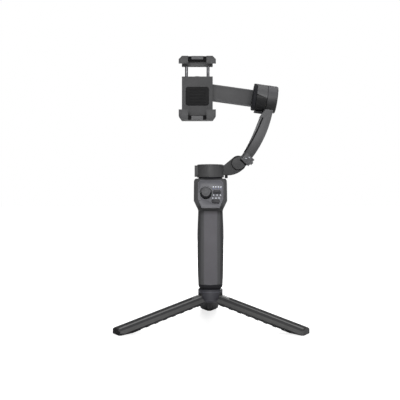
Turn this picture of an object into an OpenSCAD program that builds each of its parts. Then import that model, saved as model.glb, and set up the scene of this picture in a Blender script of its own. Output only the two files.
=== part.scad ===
// Three-axis smartphone gimbal standing on its folding mini tripod.
// The handle's axis is vertical, the control panel faces -Y and the feet stand on z = 0.

/* [Tripod] */
// Outer diameter of the tripod hub
hub_d = 31.75; // [31.25:0.25:32.75]
// Height of the hub's body
hub_h = 16.9; // [16:0.1:19]
// Radius of a leg's round outer face, from the folded bundle's axis
leg_r = 15.4; // [15.1:0.1:15.6]
// Distance from the handle's axis to the end of a foot
tip_r = 133; // [120:1:150]
// Slope of an open leg below the level
leg_slope = 15.1; // [14.5:0.1:16.5]
// Distance from the handle's axis to a leg's pin
pin_r = 10.4; // [10.3:0.05:10.5]
// Diameter of a leg's pin
pin_d = 3; // [2.5:0.1:3.4]
// Height of a leg's round top over the ground at its end
foot_top = 8.6; // [8:0.1:10]
// Distance between the cross ribs under a leg
rib_pitch = 12.5; // [10:0.5:16]

/* [Handle] */
// Greatest width of the grip
grip_w = 34; // [32:0.5:37]
// Greatest depth of the grip
grip_d = 35; // [33:0.5:38]
// Length of the grip between bottom cap and control head
grip_len = 93.5; // [88:0.5:110]
// Height of the bottom cap
cap_h = 5.6; // [5:0.1:7]
// Width of the control head
head_w = 43; // [42:0.5:46]
// Height of the control head
head_h = 42.2; // [41.5:0.1:45]
// Thickness of the casings' walls
wall = 2; // [1.6:0.1:2.4]
// Lean of the control panel back from the vertical
panel_lean = 10; // [8:0.5:12]
// Diameter of the battery cell
cell_d = 18.4; // [17:0.1:19]
// Length of the battery cell
cell_len = 65; // [60:0.5:67]

/* [Controls] */
// Width of the control panel
panel_w = 32; // [31:0.25:33.5]
// Height of the control panel
panel_h = 35.5; // [35:0.25:36.5]
// Thickness of the control panel
panel_t = 1.6; // [1.2:0.1:2]
// Diameter of the joystick's cap
stick_d = 14.6; // [13:0.1:15]
// Width of the upper button
record_w = 10; // [9:0.25:10.5]
// Height of the upper button
record_h = 4.8; // [4.2:0.1:5.2]
// Width of the lower button
mode_w = 10.6; // [9:0.25:11]
// Height of the lower button
mode_h = 5.4; // [4.8:0.1:5.8]
// Press of a button
press = 0.6; // [0.4:0.1:0.8]

/* [Motors] */
// Outer diameter of the motor housings
motor_d = 35; // [34:0.25:36]
// Height of the pan motor's housing with its lid
pan_h = 16.5; // [15.5:0.25:18.5]
// Gap between the control head and the pan motor's housing
pan_gap = 1.6; // [1.4:0.1:2.4]
// Wall of the motor housings
shell_t = 1.5; // [1.2:0.1:1.8]
// Diameter of the motor shafts
shaft_d = 4; // [3.5:0.1:4.4]
// Slope of the tilt motor's axis below the level
tilt_slope = 8; // [7:0.5:9]
// Width of the tilt motor's outer cup
cup_w = 13; // [12.5:0.25:15]
// Width of the tilt motor's inner housing
inner_w = 14; // [13:0.25:16]
// Width of the dark collar beside the tilt motor's inner housing
collar_w = 4.4; // [4:0.1:5]

/* [Link and arm] */
// Distance of the fold hinge from the handle's axis
hinge_x = 36; // [35.5:0.25:38]
// Height of the fold hinge over the pan motor's underside
hinge_up = 18.1; // [17.5:0.1:18.7]
// Radius of the lower link's knuckle
knuckle_r = 10; // [9.5:0.1:10.2]
// Thickness of the lower link
link_t = 11; // [10:0.25:11.5]
// Depth of the upper arm
arm_d = 19; // [18.5:0.25:21]
// Sideways reach of the upper arm from its hinge to the tilt motor's seam
arm_reach = 37; // [36:0.5:39]
// Rise of the upper arm from its hinge to the tilt motor's axis
arm_rise = 84.1; // [82:0.5:90]
// Diameter of the fold hinge's pin
hinge_pin_d = 5; // [4:0.1:6]
// Travel of the lock slider
lock_travel = 2; // [1.5:0.1:2.2]

/* [Clamp] */
// Distance of the roll axis from the handle's axis, to the left
roll_left = 17; // [14:0.5:18]
// Width of the clamp's jaws
jaw_w = 47.6; // [44:0.2:50]
// Height between the jaws' pads as the clamp stands open
jaw_open = 70.4; // [66:0.2:74]
// Closing travel of the upper jaw from there
jaw_close = 12; // [8:0.5:14]
// Opening travel of the upper jaw from there
jaw_more = 17; // [10:0.5:19]
// Thickness of the phone that the clamp takes
phone_t = 8.3; // [7:0.1:9]
// Thickness of the upper jaw
upper_jaw_t = 5.2; // [4.6:0.1:6]
// Thickness of the lower jaw
lower_jaw_t = 6.2; // [5.6:0.1:7]
// Width of a jaw's lip
lip_w = 12; // [10:0.2:13]
// Drop of the upper lips over the phone's front
upper_lip_h = 4.5; // [4:0.1:6]
// Rise of the lower lips over the phone's front
lower_lip_h = 7; // [6:0.1:8]
// Diameter of the guide rods
rod_d = 4; // [3.5:0.1:4.5]

/* [Hidden] */
$fn = 48;

// Overrun of every cut past the face that it opens
over = 1;
// Clearance in a running bore, on the diameter
run_fit = 0.1;
// Gap between pieces that move past each other
gap = 0.3;
// Thickness of the thin slices that a rounded casing is drawn between
slice = 0.2;
// Facets of the circles that a rounded casing is drawn between
soft_fn = 32;

charcoal = "#3d3d40";
dark = "#2a2a2c";
black = "#161617";
panel_grey = "#707074";
metal = "#b4b4b8";
copper = "#b06a38";
brass = "#b89248";

// Tripod: heights over the ground
leg_turns = [210, 330, 90];
leg_gap = 0.25;
leg_wedge = 60;
ridge_w = 4;
pin_z = foot_top + (tip_r - pin_r) * tan(leg_slope) - (leg_r - pin_r) / cos(leg_slope);
hub_drop = 6;
hub_z = pin_z - hub_drop;
hub_top = hub_z + hub_h;
hub_chamfer = 3;
hub_round = 1.4;
hub_pad_t = 1;
hub_pad_d = 25;
tongue_w = 9;
tongue_gap = 0.2;
tongue_r = leg_r - pin_r;
slot_gap = 0.3;
pin_len = 20;
leg_start = 6.5;
leg_clear_r = 6.7;
leg_len = (tip_r - pin_r) / cos(leg_slope) + tongue_r;
leg_skin = 2.2;
leg_wall = 1.6;
leg_rise = tan(90 - leg_wedge);
leg_apex = leg_gap / sin(leg_wedge) - pin_r;
leg_ridge = leg_apex + ridge_w / 2 * leg_rise;
rib_t = 4.5;
notch_h = 1.3;
rib_from = 13;
rib_to_tip = 22;
groove_w = 11;
groove_t = 0.9;
groove_from = 17;
groove_to_tip = 15;
toe_w = 18;
toe_len = 7;
foot_len = 18;
foot_t = 2.6;
foot_end_t = 2;
stud_d = 6.35;
stud_flange_d = 10;
stud_flange_t = 2;
stud_flange_drop = 4.4;
stud_flange_z = hub_top - stud_flange_drop;
stud_rise = 9;

// Handle: heights over the ground
handle_z = hub_top + hub_pad_t;
grip_z = handle_z + cap_h;
head_z = grip_z + grip_len;
head_top = head_z + head_h;

// Origin of the whole stand: the middle of the feet's outline lies on y = 0
foot_reach_front = tip_r / 2 + toe_w / 2 * cos(30);
stand_y = (foot_reach_front - tip_r) / 2;

// Common placements and shapes
module stand() translate([0, stand_y, 0]) children();

// A flat outline drawn in x and z, thick in y from y0 to y1
module slab(y0, y1) translate([0, y1, 0]) rotate([90, 0, 0]) linear_extrude(y1 - y0) children();

// A rod along y or along x
module rod_y(d, y0, y1) translate([0, y1, 0]) rotate([90, 0, 0]) cylinder(d = d, h = y1 - y0);
module rod_x(d, x0, x1) translate([x0, 0, 0]) rotate([0, 90, 0]) cylinder(d = d, h = x1 - x0);

module ring(d_out, d_in, h) difference() {
    cylinder(d = d_out, h = h);
    translate([0, 0, -over]) cylinder(d = d_in, h = h + 2 * over);
}

module ring_x(d_out, d_in, x0, x1) difference() {
    rod_x(d_out, x0, x1);
    rod_x(d_in, x0 - over, x1 + over);
}

module ring_y(d_out, d_in, y0, y1) difference() {
    rod_y(d_out, y0, y1);
    rod_y(d_in, y0 - over, y1 + over);
}

// A rectangle with round corners, its middle at the origin
module round_rect(w, h, r) {
    square([w - 2 * r, h], center = true);
    square([w, h - 2 * r], center = true);
    for (x = [-1, 1], y = [-1, 1])
        translate([x * (w / 2 - r), y * (h / 2 - r)]) circle(r = r);
}

module box_between(a, b) translate(a) cube(b - a);

// Points of a shallow arc from a to b that bows to the right of the way by s
function bow(a, b, s, n) = [
    for (i = [0 : n])
        let (t = i / n, d = b - a, side = [d[1], -d[0]] / norm(d))
            a + t * d + 4 * s * t * (1 - t) * side
];

// Tripod
module hub_outline() polygon([
    [0, hub_z], [hub_d / 2 - hub_chamfer, hub_z], [hub_d / 2, hub_z + hub_chamfer],
    [hub_d / 2, hub_top - 2 * hub_round], [hub_d / 2 - hub_round / 2, hub_top - hub_round / 2],
    [hub_d / 2 - hub_round, hub_top], [0, hub_top]
]);

module stud_body(fit) translate([0, 0, stud_flange_z]) {
    cylinder(d = stud_flange_d, h = stud_flange_t);
    cylinder(d = stud_d + fit, h = handle_z - stud_flange_z + stud_rise);
}

// The pin's place and slope of one open leg, with x along the leg
module leg_place(turn) rotate([0, 0, turn]) translate([pin_r, 0, pin_z]) children();
module leg_axes(turn) leg_place(turn) rotate([0, leg_slope, 0]) children();

module tripod_hub() color(dark) stand() difference() {
    rotate_extrude() hub_outline();
    for (turn = leg_turns) {
        rotate([0, 0, turn]) box_between(
            [pin_r - tongue_r - slot_gap, -tongue_w / 2 - tongue_gap, hub_z - over],
            [hub_d, tongue_w / 2 + tongue_gap, pin_z + tongue_r + slot_gap]);
        leg_place(turn) rod_y(pin_d, -pin_len / 2, pin_len / 2);
    }
    stud_body(0);
}

module tripod_stud() color(metal) stand() stud_body(0);

module hub_pad() color(black) stand() translate([0, 0, hub_top]) ring(hub_pad_d, stud_d, hub_pad_t);

module leg_pins() color(metal) stand()
    for (turn = leg_turns) leg_place(turn) rod_y(pin_d, -pin_len / 2, pin_len / 2);

// Section of a leg: round outside, two flats that meet at the folded bundle's axis
module leg_section() intersection() {
    translate([0, -pin_r]) circle(r = leg_r);
    polygon([
        [-ridge_w / 2, leg_ridge], [ridge_w / 2, leg_ridge], [leg_r, leg_apex + leg_r * leg_rise],
        [leg_r, leg_r], [-leg_r, leg_r], [-leg_r, leg_apex + leg_r * leg_rise]
    ]);
}

// The hollow between two ribs, within the leg's skin and its two side walls
module leg_pocket() intersection() {
    foot = leg_apex + leg_wall / sin(leg_wedge);
    translate([0, -pin_r]) circle(r = leg_r - leg_skin);
    polygon([
        [0, foot], [leg_r, foot + leg_r * leg_rise], [leg_r, leg_r],
        [-leg_r, leg_r], [-leg_r, foot + leg_r * leg_rise]
    ]);
}

// Everything that one leg's outline may fill: from the hub to the toe, above the ground
module leg_space(turn) rotate([0, 0, turn]) linear_extrude(pin_z + leg_r) polygon([
    [pin_r, -leg_r], [tip_r - toe_len, -leg_r], [tip_r - toe_len, -leg_r * sin(leg_wedge)],
    [tip_r, -toe_w / 2], [tip_r, toe_w / 2], [tip_r - toe_len, leg_r * sin(leg_wedge)],
    [tip_r - toe_len, leg_r], [pin_r, leg_r]
]);

module leg_blank(turn) intersection() {
    leg_space(turn);
    leg_axes(turn) rotate([90, 0, 90]) translate([0, 0, leg_start])
        linear_extrude(leg_len - leg_start) leg_section();
}

// The foot's share of the blank: a sole on the ground and an end plate
module foot_space(turn) rotate([0, 0, turn]) {
    box_between([tip_r - foot_len, -leg_r, -over], [tip_r, leg_r, foot_t]);
    box_between([tip_r - foot_end_t, -leg_r, -over], [tip_r + over, leg_r, leg_r]);
}

module leg(turn) difference() {
    union() {
        difference() {
            leg_blank(turn);
            foot_space(turn);
            leg_axes(turn) rod_y(2 * leg_clear_r, -leg_r, leg_r);
            leg_axes(turn)
                for (x = [rib_from : rib_pitch : leg_len - rib_to_tip - rib_pitch]) {
                    rotate([90, 0, 90]) translate([0, 0, x]) linear_extrude(rib_pitch - rib_t) leg_pocket();
                    box_between([x, -leg_r, -leg_r - pin_r], [x + rib_pitch - rib_t, leg_r, leg_ridge + notch_h]);
                }
            leg_axes(turn) translate([0, 0, tongue_r - groove_t]) linear_extrude(leg_r) hull()
                for (x = [groove_from, leg_len - groove_to_tip - groove_w])
                    translate([x + groove_w / 2, 0]) circle(d = groove_w);
        }
        leg_axes(turn) {
            rod_y(2 * tongue_r, -tongue_w / 2, tongue_w / 2);
            box_between([0, -tongue_w / 2, -tongue_r], [rib_from, tongue_w / 2, tongue_r - groove_t]);
        }
    }
    leg_place(turn) rod_y(pin_d + run_fit, -leg_r, leg_r);
}

module foot(turn) intersection() {
    leg_blank(turn);
    foot_space(turn);
}

module leg_left() color(charcoal) stand() leg(leg_turns[0]);
module leg_right() color(charcoal) stand() leg(leg_turns[1]);
module leg_rear() color(charcoal) stand() leg(leg_turns[2]);
module foot_left() color(black) stand() foot(leg_turns[0]);
module foot_right() color(black) stand() foot(leg_turns[1]);
module foot_rear() color(black) stand() foot(leg_turns[2]);

// Handle
soft_r = 9;
cap_shares = [[0, 0.8], [0.4, 0.89], [1, 0.92]];
front_flat_share = 0.08;
neck_width_share = 0.73;
neck_depth_share = 0.95;
neck_front_in = 1;
chin_width_share = 0.78;
brow_width_share = 0.99;
crown_width_share = 0.86;
grip_shares = [[0, 0.92], [0.13, 0.955], [0.55, 1], [0.88, 0.955], [1, 0.93]];
head_back_out = 1;
head_back = grip_d / 2 + head_back_out;
panel_out = 0.5;
panel_y = -grip_d / 2 - panel_out;
panel_up = 22;
panel_z = head_z + panel_up;
chin_h = 3.5;
shoulder_h = 13.4;
crown_h = 3.7;
crown_in = 3;
spigot_h = 3;
strip_w = 17.6;
strip_t = 1.2;
strip_more = 0.35;
strip_proud = 0.5;
strip_foot = 0.6;
strip_tuck = 0.6;
insert_d = 11;
insert_len = 12;
cell_foot = 13;
cell_z = grip_z + cell_foot;
shelf_t = 2;
screw_d = 2.4;
screw_head_d = 4.6;
screw_head_t = 1.8;
screw_bite = 6;
screw_face_share = 0.955;
screw_sink = 0.6;
boss_d = 6;
boss_in = 6;
boss_foot = 6;
boss_top = 8;
boss_x = grip_w / 2 - boss_in;
boss_zs = [grip_z + boss_foot, head_z - boss_top];
usb_w = 9;
usb_h = 3.2;
usb_depth = 7;
usb_wall = 0.35;
usb_tongue_t = 0.7;
usb_tongue_in = 1.2;
usb_floor = 1;
usb_sink = 0.2;
usb_corner_in = 0.05;
usb_up = 12;
usb_z = head_z + usb_up;

// Front face of the control head at a height z over the ground
function face_y(z) = panel_y + (z - panel_z) * tan(panel_lean);

// One level of a rounded casing: its height, width, front and back
module level(z, w, y_front, y_back, inset) {
    r = soft_r - inset;
    for (x = [-1, 1], y = [y_front + soft_r, y_back - soft_r])
        translate([x * (w / 2 - soft_r), y, z]) cylinder(r = r, h = slice, $fn = soft_fn);
}

module grip_level(z, share, inset)
    level(z, grip_w * share, -grip_d / 2 + (1 - min(1, share + front_flat_share)) * grip_d / 2,
        grip_d / 2 * share, inset);

module grip_blob(inset, below, above) hull()
    for (i = [0 : len(grip_shares) - 1])
        let (s = grip_shares[i], z = grip_z + s[0] * (grip_len - slice))
            grip_level(z - (i == 0 ? below : 0) + (i == len(grip_shares) - 1 ? above : 0), s[1], inset);

module head_blob(inset, below) hull() {
    level(head_z - below, head_w * neck_width_share, -grip_d / 2 + neck_front_in,
        grip_d / 2 * neck_depth_share, inset);
    level(head_z + chin_h, head_w * chin_width_share, face_y(head_z + chin_h), grip_d / 2, inset);
    level(head_z + shoulder_h, head_w, face_y(head_z + shoulder_h), head_back, inset);
    level(head_top - crown_h - inset, head_w * brow_width_share, face_y(head_top - crown_h), head_back,
        inset);
    level(head_top - slice - inset, head_w * crown_width_share, face_y(head_top) + crown_in,
        head_back - crown_in, inset);
}

module casing_outside() {
    grip_blob(0, 0, 0);
    head_blob(0, slice);
}

module casing_inside() {
    grip_blob(wall, over, wall + over);
    head_blob(wall, -wall);
}

// Placement on the leaning control panel: its face at y = 0, outward is -y
module panel_axes() translate([0, panel_y, panel_z]) rotate([-panel_lean, 0, 0]) children();

panel_proud = 0.6;
panel_shares = [[0.35, -0.5], [0.375, -0.44], [0.5, -0.175], [0.5, 0.42], [0.41, 0.5]];
stick_at = [-6, 1.5];
stick_hole_d = 16.2;
stick_pivot_y = 4;
record_at = [8.2, 2.7];
mode_at = [6.5, -9.7];
button_gap = 0.15;
button_rise = 1.2;
button_skirt = 1.6;
button_r = 1.2;
stem_d = 3;
board_y = 7.4;
board_t = 1.6;
board_w = 28;
board_h = 30;
post_d = 4;
board_posts = [[-12, 12], [12, 12], [-10, -12.5]];
light_t = 0.3;
level_light_w = 1.7;
level_light_h = 1.2;
level_light_at = [3.5, 9.2];
level_light_pitch = 3.25;
level_dot_d = 0.9;
level_dot_drop = 2.3;
mode_light_d = 1.6;
mode_lights_at = [
    [3.9, -1.35], [8.3, -1.35], [12.7, -1.35], [2.7, -5.2], [6.8, -5.2], [10.8, -5.2]
];

module at_panel(p) panel_axes() translate([p[0], 0, p[1]]) children();

module panel_outline() polygon([
    for (s = panel_shares) [s[0] * panel_w, s[1] * panel_h],
    for (i = [len(panel_shares) - 1 : -1 : 0]) [-panel_shares[i][0] * panel_w, panel_shares[i][1] * panel_h]
]);

module record_outline(grow) round_rect(record_w + 2 * grow, record_h + 2 * grow, button_r + grow);

// The lower button's half outline from its foot upwards, as shares of its width and height
mode_shares = [[0.36, -0.5], [0.5, -0.1], [0.5, 0.3], [0.42, 0.5]];

function mode_point(share, side, grow) = [
    side * (share[0] * mode_w + grow),
    share[1] * mode_h + (abs(share[1]) < 1 / 2 ? 0 : sign(share[1]) * grow)
];

module mode_outline(grow) polygon([
    for (share = mode_shares) mode_point(share, 1, grow),
    for (i = [len(mode_shares) - 1 : -1 : 0]) mode_point(mode_shares[i], -1, grow)
]);

// Openings for the joystick and the buttons, from y0 to y1
module control_holes(y0, y1) {
    at_panel(stick_at) rod_y(stick_hole_d, y0, y1);
    at_panel(record_at) slab(y0, y1) record_outline(button_gap);
    at_panel(mode_at) slab(y0, y1) mode_outline(button_gap);
}

module light_shapes(y0, y1) {
    for (i = [0 : 3]) {
        at_panel(level_light_at + [i * level_light_pitch, 0])
            slab(y0, y1) square([level_light_w, level_light_h], center = true);
        at_panel(level_light_at + [i * level_light_pitch, -level_dot_drop]) rod_y(level_dot_d, y0, y1);
    }
    for (p = mode_lights_at) at_panel(p) rod_y(mode_light_d, y0, y1);
}

module screw_rods(d, y0, y1) for (x = [-boss_x, boss_x], z = boss_zs) translate([x, 0, z]) rod_y(d, y0, y1);

screw_y = grip_d / 2 * screw_face_share - screw_head_t - screw_sink;

module usb_opening(grow, y0, y1) translate([0, 0, usb_z]) slab(y0, y1)
    round_rect(usb_w + 2 * grow, usb_h + 2 * grow, usb_h / 2 + grow - usb_corner_in);

module bottom_cap() color(dark) stand() difference() {
    union() {
        hull() for (s = cap_shares) grip_level(handle_z + s[0] * (cap_h - slice), s[1], 0);
        hull() {
            grip_level(grip_z - slice, grip_shares[0][1], wall + gap);
            grip_level(grip_z + spigot_h - slice, grip_shares[0][1], wall + gap);
        }
    }
    translate([0, 0, handle_z - over])
        cylinder(d = insert_d + run_fit, h = cap_h + spigot_h + 2 * over);
}

module tripod_insert() color(brass) stand() translate([0, 0, handle_z]) ring(insert_d, stud_d, insert_len);

module half(side) box_between(
    [-head_w, side > 0 ? 0 : -head_w, handle_z],
    [head_w, side > 0 ? head_w : 0, head_top + over]);

module handle_front_shell() color(charcoal) stand() difference() {
    union() {
        intersection() {
            difference() {
                casing_outside();
                casing_inside();
            }
            half(-1);
        }
        intersection() {
            casing_outside();
            union() {
                screw_rods(boss_d, -grip_d, 0);
                panel_axes() for (p = board_posts) translate([p[0], 0, p[1]]) rod_y(post_d, 0, board_y);
            }
        }
    }
    screw_rods(screw_d, -screw_bite, over);
    panel_axes() slab(-over - panel_proud, panel_t - panel_proud) panel_outline();
    control_holes(0, wall + over);
    grip_strip_body();
}

module handle_rear_shell() color(charcoal) stand() difference() {
    union() {
        intersection() {
            difference() {
                casing_outside();
                casing_inside();
            }
            half(1);
        }
        intersection() {
            grip_blob(0, 0, 0);
            half(1);
            union() {
                screw_rods(boss_d, 0, grip_d);
                for (z = [cell_z - shelf_t, cell_z + cell_len])
                    box_between([-grip_w, 0, z], [grip_w, grip_d, z + shelf_t]);
            }
        }
    }
    screw_rods(screw_d, -over, grip_d);
    screw_rods(screw_head_d, screw_y, grip_d);
    usb_opening(0, 0, head_w);
}

module grip_strip_body() box_between(
    [-strip_w / 2, -grip_d / 2 - strip_proud, grip_z - strip_foot],
    [strip_w / 2, -grip_d / 2 - strip_proud + strip_t + strip_more, head_z + strip_tuck]);

module grip_strip() color("#55555a") stand() difference() {
    grip_strip_body();
    hull() for (s = cap_shares) grip_level(handle_z + s[0] * (cap_h - slice), s[1], 0);
}

module handle_screws() color(metal) stand() {
    screw_rods(screw_d, -screw_bite, screw_y);
    screw_rods(screw_head_d, screw_y, screw_y + screw_head_t);
}

module battery_cell() color("#3a5f8a") stand() translate([0, 0, cell_z]) cylinder(d = cell_d, h = cell_len);

module main_board() color("#1f4a34") stand() panel_axes() slab(board_y, board_y + board_t)
    square([board_w, board_h], center = true);

module usb_port() color(metal) stand() {
    difference() {
        usb_opening(0, head_back - usb_depth, head_back - usb_sink);
        usb_opening(-usb_wall, head_back - usb_depth + usb_floor, head_back + over);
    }
    translate([0, 0, usb_z]) box_between(
        [-usb_w / 2 + usb_tongue_in, head_back - usb_depth + usb_floor, -usb_tongue_t / 2],
        [usb_w / 2 - usb_tongue_in, head_back - usb_tongue_in, usb_tongue_t / 2]);
}

module control_panel() color(panel_grey) stand() difference() {
    panel_axes() slab(-panel_proud, panel_t - panel_proud) panel_outline();
    control_holes(-over - panel_proud, panel_t + over);
    light_shapes(-over - panel_proud, light_t - panel_proud);
}

module panel_lights() color("white") stand() light_shapes(-panel_proud, light_t - panel_proud);

// A button: its cap in the panel and the stem towards the board
module button(p) {
    at_panel(p) slab(-panel_proud - button_rise, button_skirt - panel_proud) children();
    at_panel(p) rod_y(stem_d, button_skirt - panel_proud - slice, board_y - press - gap);
}

module record_button() color(panel_grey) stand() button(record_at) record_outline(0);
module mode_button() color(panel_grey) stand() button(mode_at) mode_outline(0);

stick_base_w = 13;
stick_well_d = 10.6;
stick_well_floor = 1;
yoke_d = 8.6;
yoke_bore_d = 5.2;
yoke_t = 1.6;
trunnion_d = 1.4;
stick_stem_d = 2.6;
stick_cap_y = -3.4;
stick_cap_h = 2.6;
stick_top_share = 0.67;
stick_dish = 0.7;
stick_base_r = 1.5;
stick_rim = 0.5;
stick_taper = 0.4;
stick_waist_share = 0.4;
stick_dish_rim = 1;
stick_neck = 1;

module joystick_base() color(black) stand() at_panel(stick_at) difference() {
    slab(wall, board_y) round_rect(stick_base_w, stick_base_w, stick_base_r);
    rod_y(stick_well_d, wall - over, board_y - stick_well_floor);
}

module joystick_yoke() color(metal) stand() at_panel(stick_at) translate([0, stick_pivot_y, 0]) {
    ring_y(yoke_d, yoke_bore_d, -yoke_t / 2, yoke_t / 2);
    for (turn = [0, 180]) rotate([0, turn, 0])
        rod_x(trunnion_d, yoke_d / 2 - gap, stick_well_d / 2 - run_fit);
}

module joystick_cap() color(charcoal) stand() at_panel(stick_at) {
    rod_y(stick_stem_d, stick_cap_y - stick_neck, stick_pivot_y + yoke_t / 2);
    translate([0, stick_pivot_y, 0]) cylinder(d = trunnion_d, h = yoke_bore_d - 2 * run_fit, center = true);
    translate([0, stick_cap_y, 0]) rotate([90, 0, 0]) rotate_extrude() polygon([
        [0, 0], [stick_d / 2 - stick_rim, 0], [stick_d / 2, stick_rim],
        [stick_d / 2 - stick_taper, stick_cap_h * stick_waist_share],
        [stick_d / 2 * stick_top_share, stick_cap_h],
        [stick_d / 2 * stick_top_share - stick_dish_rim, stick_cap_h],
        [stick_d / 6, stick_cap_h - stick_dish], [0, stick_cap_h - stick_dish]
    ]);
}

// Motors: each is drawn along z, from its fixed side below 0 to its rotor above 0
post_out_d = 12;
bearing_d = 9;
bearing_t = 3;
bearing_in = 1;
magnet_t = 1.7;
magnet_from = 2;
magnet_over = 1;
air_gap = 0.4;
stator_slots = 9;
slot_w = 2.2;
shaft_end = 0.8;
end_gap = 1;
rotor_in_d = motor_d - 2 * shell_t;
stator_d = rotor_in_d - 2 * magnet_t - 2 * air_gap;

module motor_post(z0, z1) translate([0, 0, z0]) ring(post_out_d, bearing_d, z1 - z0);

module motor_bearings(z0, z1) for (z = [z0 + bearing_in, z1 - bearing_t])
    translate([0, 0, z]) ring(bearing_d, shaft_d + run_fit, bearing_t);

module motor_stator(h) translate([0, 0, magnet_from]) difference() {
    ring(stator_d, post_out_d, h - magnet_from - end_gap);
    for (i = [0 : stator_slots - 1]) rotate([0, 0, i * 360 / stator_slots])
        translate([post_out_d / 2 + slot_w, -slot_w / 2, -over])
            cube([motor_d, slot_w, h + 2 * over]);
}

module motor_magnets(h) translate([0, 0, magnet_from - magnet_over])
    ring(rotor_in_d, rotor_in_d - 2 * magnet_t, h - magnet_from - end_gap + magnet_over);

// Pan motor
pan_z = head_top + pan_gap;
pan_lid_t = 2.2;
pan_lid_lip = 0.6;
pan_room = pan_h - pan_lid_t;
pan_base_in = 2;
pan_base_d = motor_d - 2 * pan_base_in;
pan_post_top = pan_room - end_gap;
side_cover_out = 3;
side_cover_w = 14;
side_cover_z = 1;
side_cover_h = 14.4;
side_cover_r = 2;

module pan_axes() translate([0, 0, pan_z]) children();

module pan_base() color(dark) stand() pan_axes() {
    translate([0, 0, -pan_gap]) ring(pan_base_d, bearing_d, pan_gap - gap);
    motor_post(-gap - slice, pan_post_top);
}

module pan_stator() color(copper) stand() pan_axes() motor_stator(pan_room);
module pan_bearings() color(metal) stand() pan_axes() motor_bearings(-pan_gap, pan_post_top);

module pan_shaft() color(metal) stand() pan_axes() cylinder(d = shaft_d, h = pan_h - shaft_end);

module pan_magnets() color("#50525a") stand() pan_axes() motor_magnets(pan_room);

module pan_housing() color(charcoal) stand() pan_axes() ring(motor_d, rotor_in_d, pan_room);

module pan_lid() color(charcoal) stand() pan_axes() difference() {
    translate([0, 0, pan_room]) rotate_extrude() polygon([
        [0, 0], [motor_d / 2, 0], [motor_d / 2, pan_lid_t - pan_lid_lip],
        [motor_d / 2 - pan_lid_lip, pan_lid_t], [0, pan_lid_t]
    ]);
    cylinder(d = shaft_d, h = pan_h - shaft_end);
}

module pan_side_cover() color(charcoal) stand() pan_axes() difference() {
    translate([-motor_d / 2, 0, side_cover_z + side_cover_h / 2]) rotate([0, -90, 0])
        translate([0, 0, -motor_d / 4]) linear_extrude(motor_d / 4 + side_cover_out)
            round_rect(side_cover_h, side_cover_w, side_cover_r);
    cylinder(d = motor_d, h = pan_h);
}

// Lower link and fold hinge
hinge_z = pan_z + hinge_up;
link_root_z = 3;
link_foot_bow = 2.6;
link_steps = 8;
link_top_in = 0.8;
link_foot_out = 1;
knuckle_foot_share = [0.57, -0.82];
knuckle_top_share = [-0.57, 0.82];
tab_gap = 1.2;
tab_x = motor_d / 2 + tab_gap;
tab_w = 3.8;
tab_t = 5;
tab_drop = 1;
disc_r = 8.1;
washer_d = 14.2;
pin_skin = 1.2;

module hinge_axes() translate([hinge_x, 0, hinge_z]) children();

module link_outline() {
    root = [motor_d / 4, link_root_z - hinge_up] - [hinge_x, 0];
    circle(r = knuckle_r);
    polygon(concat(
        [root, [motor_d / 2 - hinge_x, link_root_z - hinge_up]],
        bow([motor_d / 2 - hinge_x + link_foot_out, link_root_z - hinge_up],
            knuckle_foot_share * knuckle_r, link_foot_bow, link_steps),
        [knuckle_top_share * knuckle_r],
        [[motor_d / 2 - hinge_x, pan_h - hinge_up - link_top_in], [root[0], pan_h - hinge_up - link_top_in]]));
}

module lower_link() color(charcoal) stand() difference() {
    union() {
        hinge_axes() slab(-link_t / 2, link_t / 2) link_outline();
        pan_axes() box_between([tab_x, -tab_t / 2, -tab_drop], [tab_x + tab_w, tab_t / 2, link_root_z + over]);
    }
    pan_axes() translate([0, 0, -over]) cylinder(d = motor_d, h = pan_h + 2 * over);
    hinge_axes() rod_y(hinge_pin_d, -link_t, link_t);
}

module hinge_pin() color(metal) stand() hinge_axes()
    rod_y(hinge_pin_d, -arm_d / 2 + pin_skin, arm_d / 2 - pin_skin);

// Upper arm
arm_clear_r = 14.5;
arm_steps = 10;
arm_bow_in = 1.5;
arm_bow_out = 3.6;
arm_wall = 2.2;
arm_side_wall = 2.8;
hollow_foot = 5.5;
hollow_top_in = 1;
cover_t = 2;
tilt_x = hinge_x + arm_reach;
tilt_z = hinge_z + arm_rise;
rotor_gap = 0.6;
arm_foot_in = [5, 10.4];
arm_foot_out = [18, 7.3];
head_in_back = 8.4;
head_in_drop = 4.9;
head_out_share = 0.54;
head_out_drop = 1.2;
cup_out_share = 0.78;
cup_in_out = 1;
arm_head_in = [arm_reach - head_in_back, arm_rise - motor_d / 2 - head_in_drop];
arm_head_out = [arm_reach + cup_w * head_out_share, arm_rise - motor_d / 2 - head_out_drop];
arm_groove_in = 1.7;
arm_groove_w = 1.9;
arm_groove_t = 1.1;
arm_groove_up = 3;
arm_cup_out = [arm_reach + cup_w * cup_out_share, arm_rise - motor_d / 4];
arm_cup_in = [arm_reach + cup_in_out, arm_rise - motor_d / 4];
cheek_outline = [[5, 10.4], [18, 7.3], [16.9, 0.4], [11.6, -2], [5, -6], [-6, 5.3]];
slider_in = 6.2;
slider_out = 17.5;
slider_side = 11.7;
slider_other = 1.5;
slider_t = 2.2;
slider_rise = 0.8;
slider_fit = 0.2;
slider_tab_w = 4;
slider_tab_t = 1.6;
slot_from = 4;
slot_open = 4;
stop_tab_w = 8;
stop_tab_t = 1.9;
cup_web = [2, 4];
cup_in_d = motor_d - 2 * wall;
end_cap_t = 1.5;

module tilt_axes() translate([tilt_x, 0, tilt_z]) rotate([0, tilt_slope, 0]) children();
module tilt_motor_axes() tilt_axes() rotate([0, -90, 0]) children();
module slide_axes() hinge_axes() rotate([0, -45, 0]) children();

module arm_outline() polygon(concat(
    bow(arm_foot_out, arm_head_out, arm_bow_out, arm_steps),
    [arm_cup_out, arm_cup_in],
    bow(arm_head_in, arm_foot_in, -arm_bow_in, arm_steps)));

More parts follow.
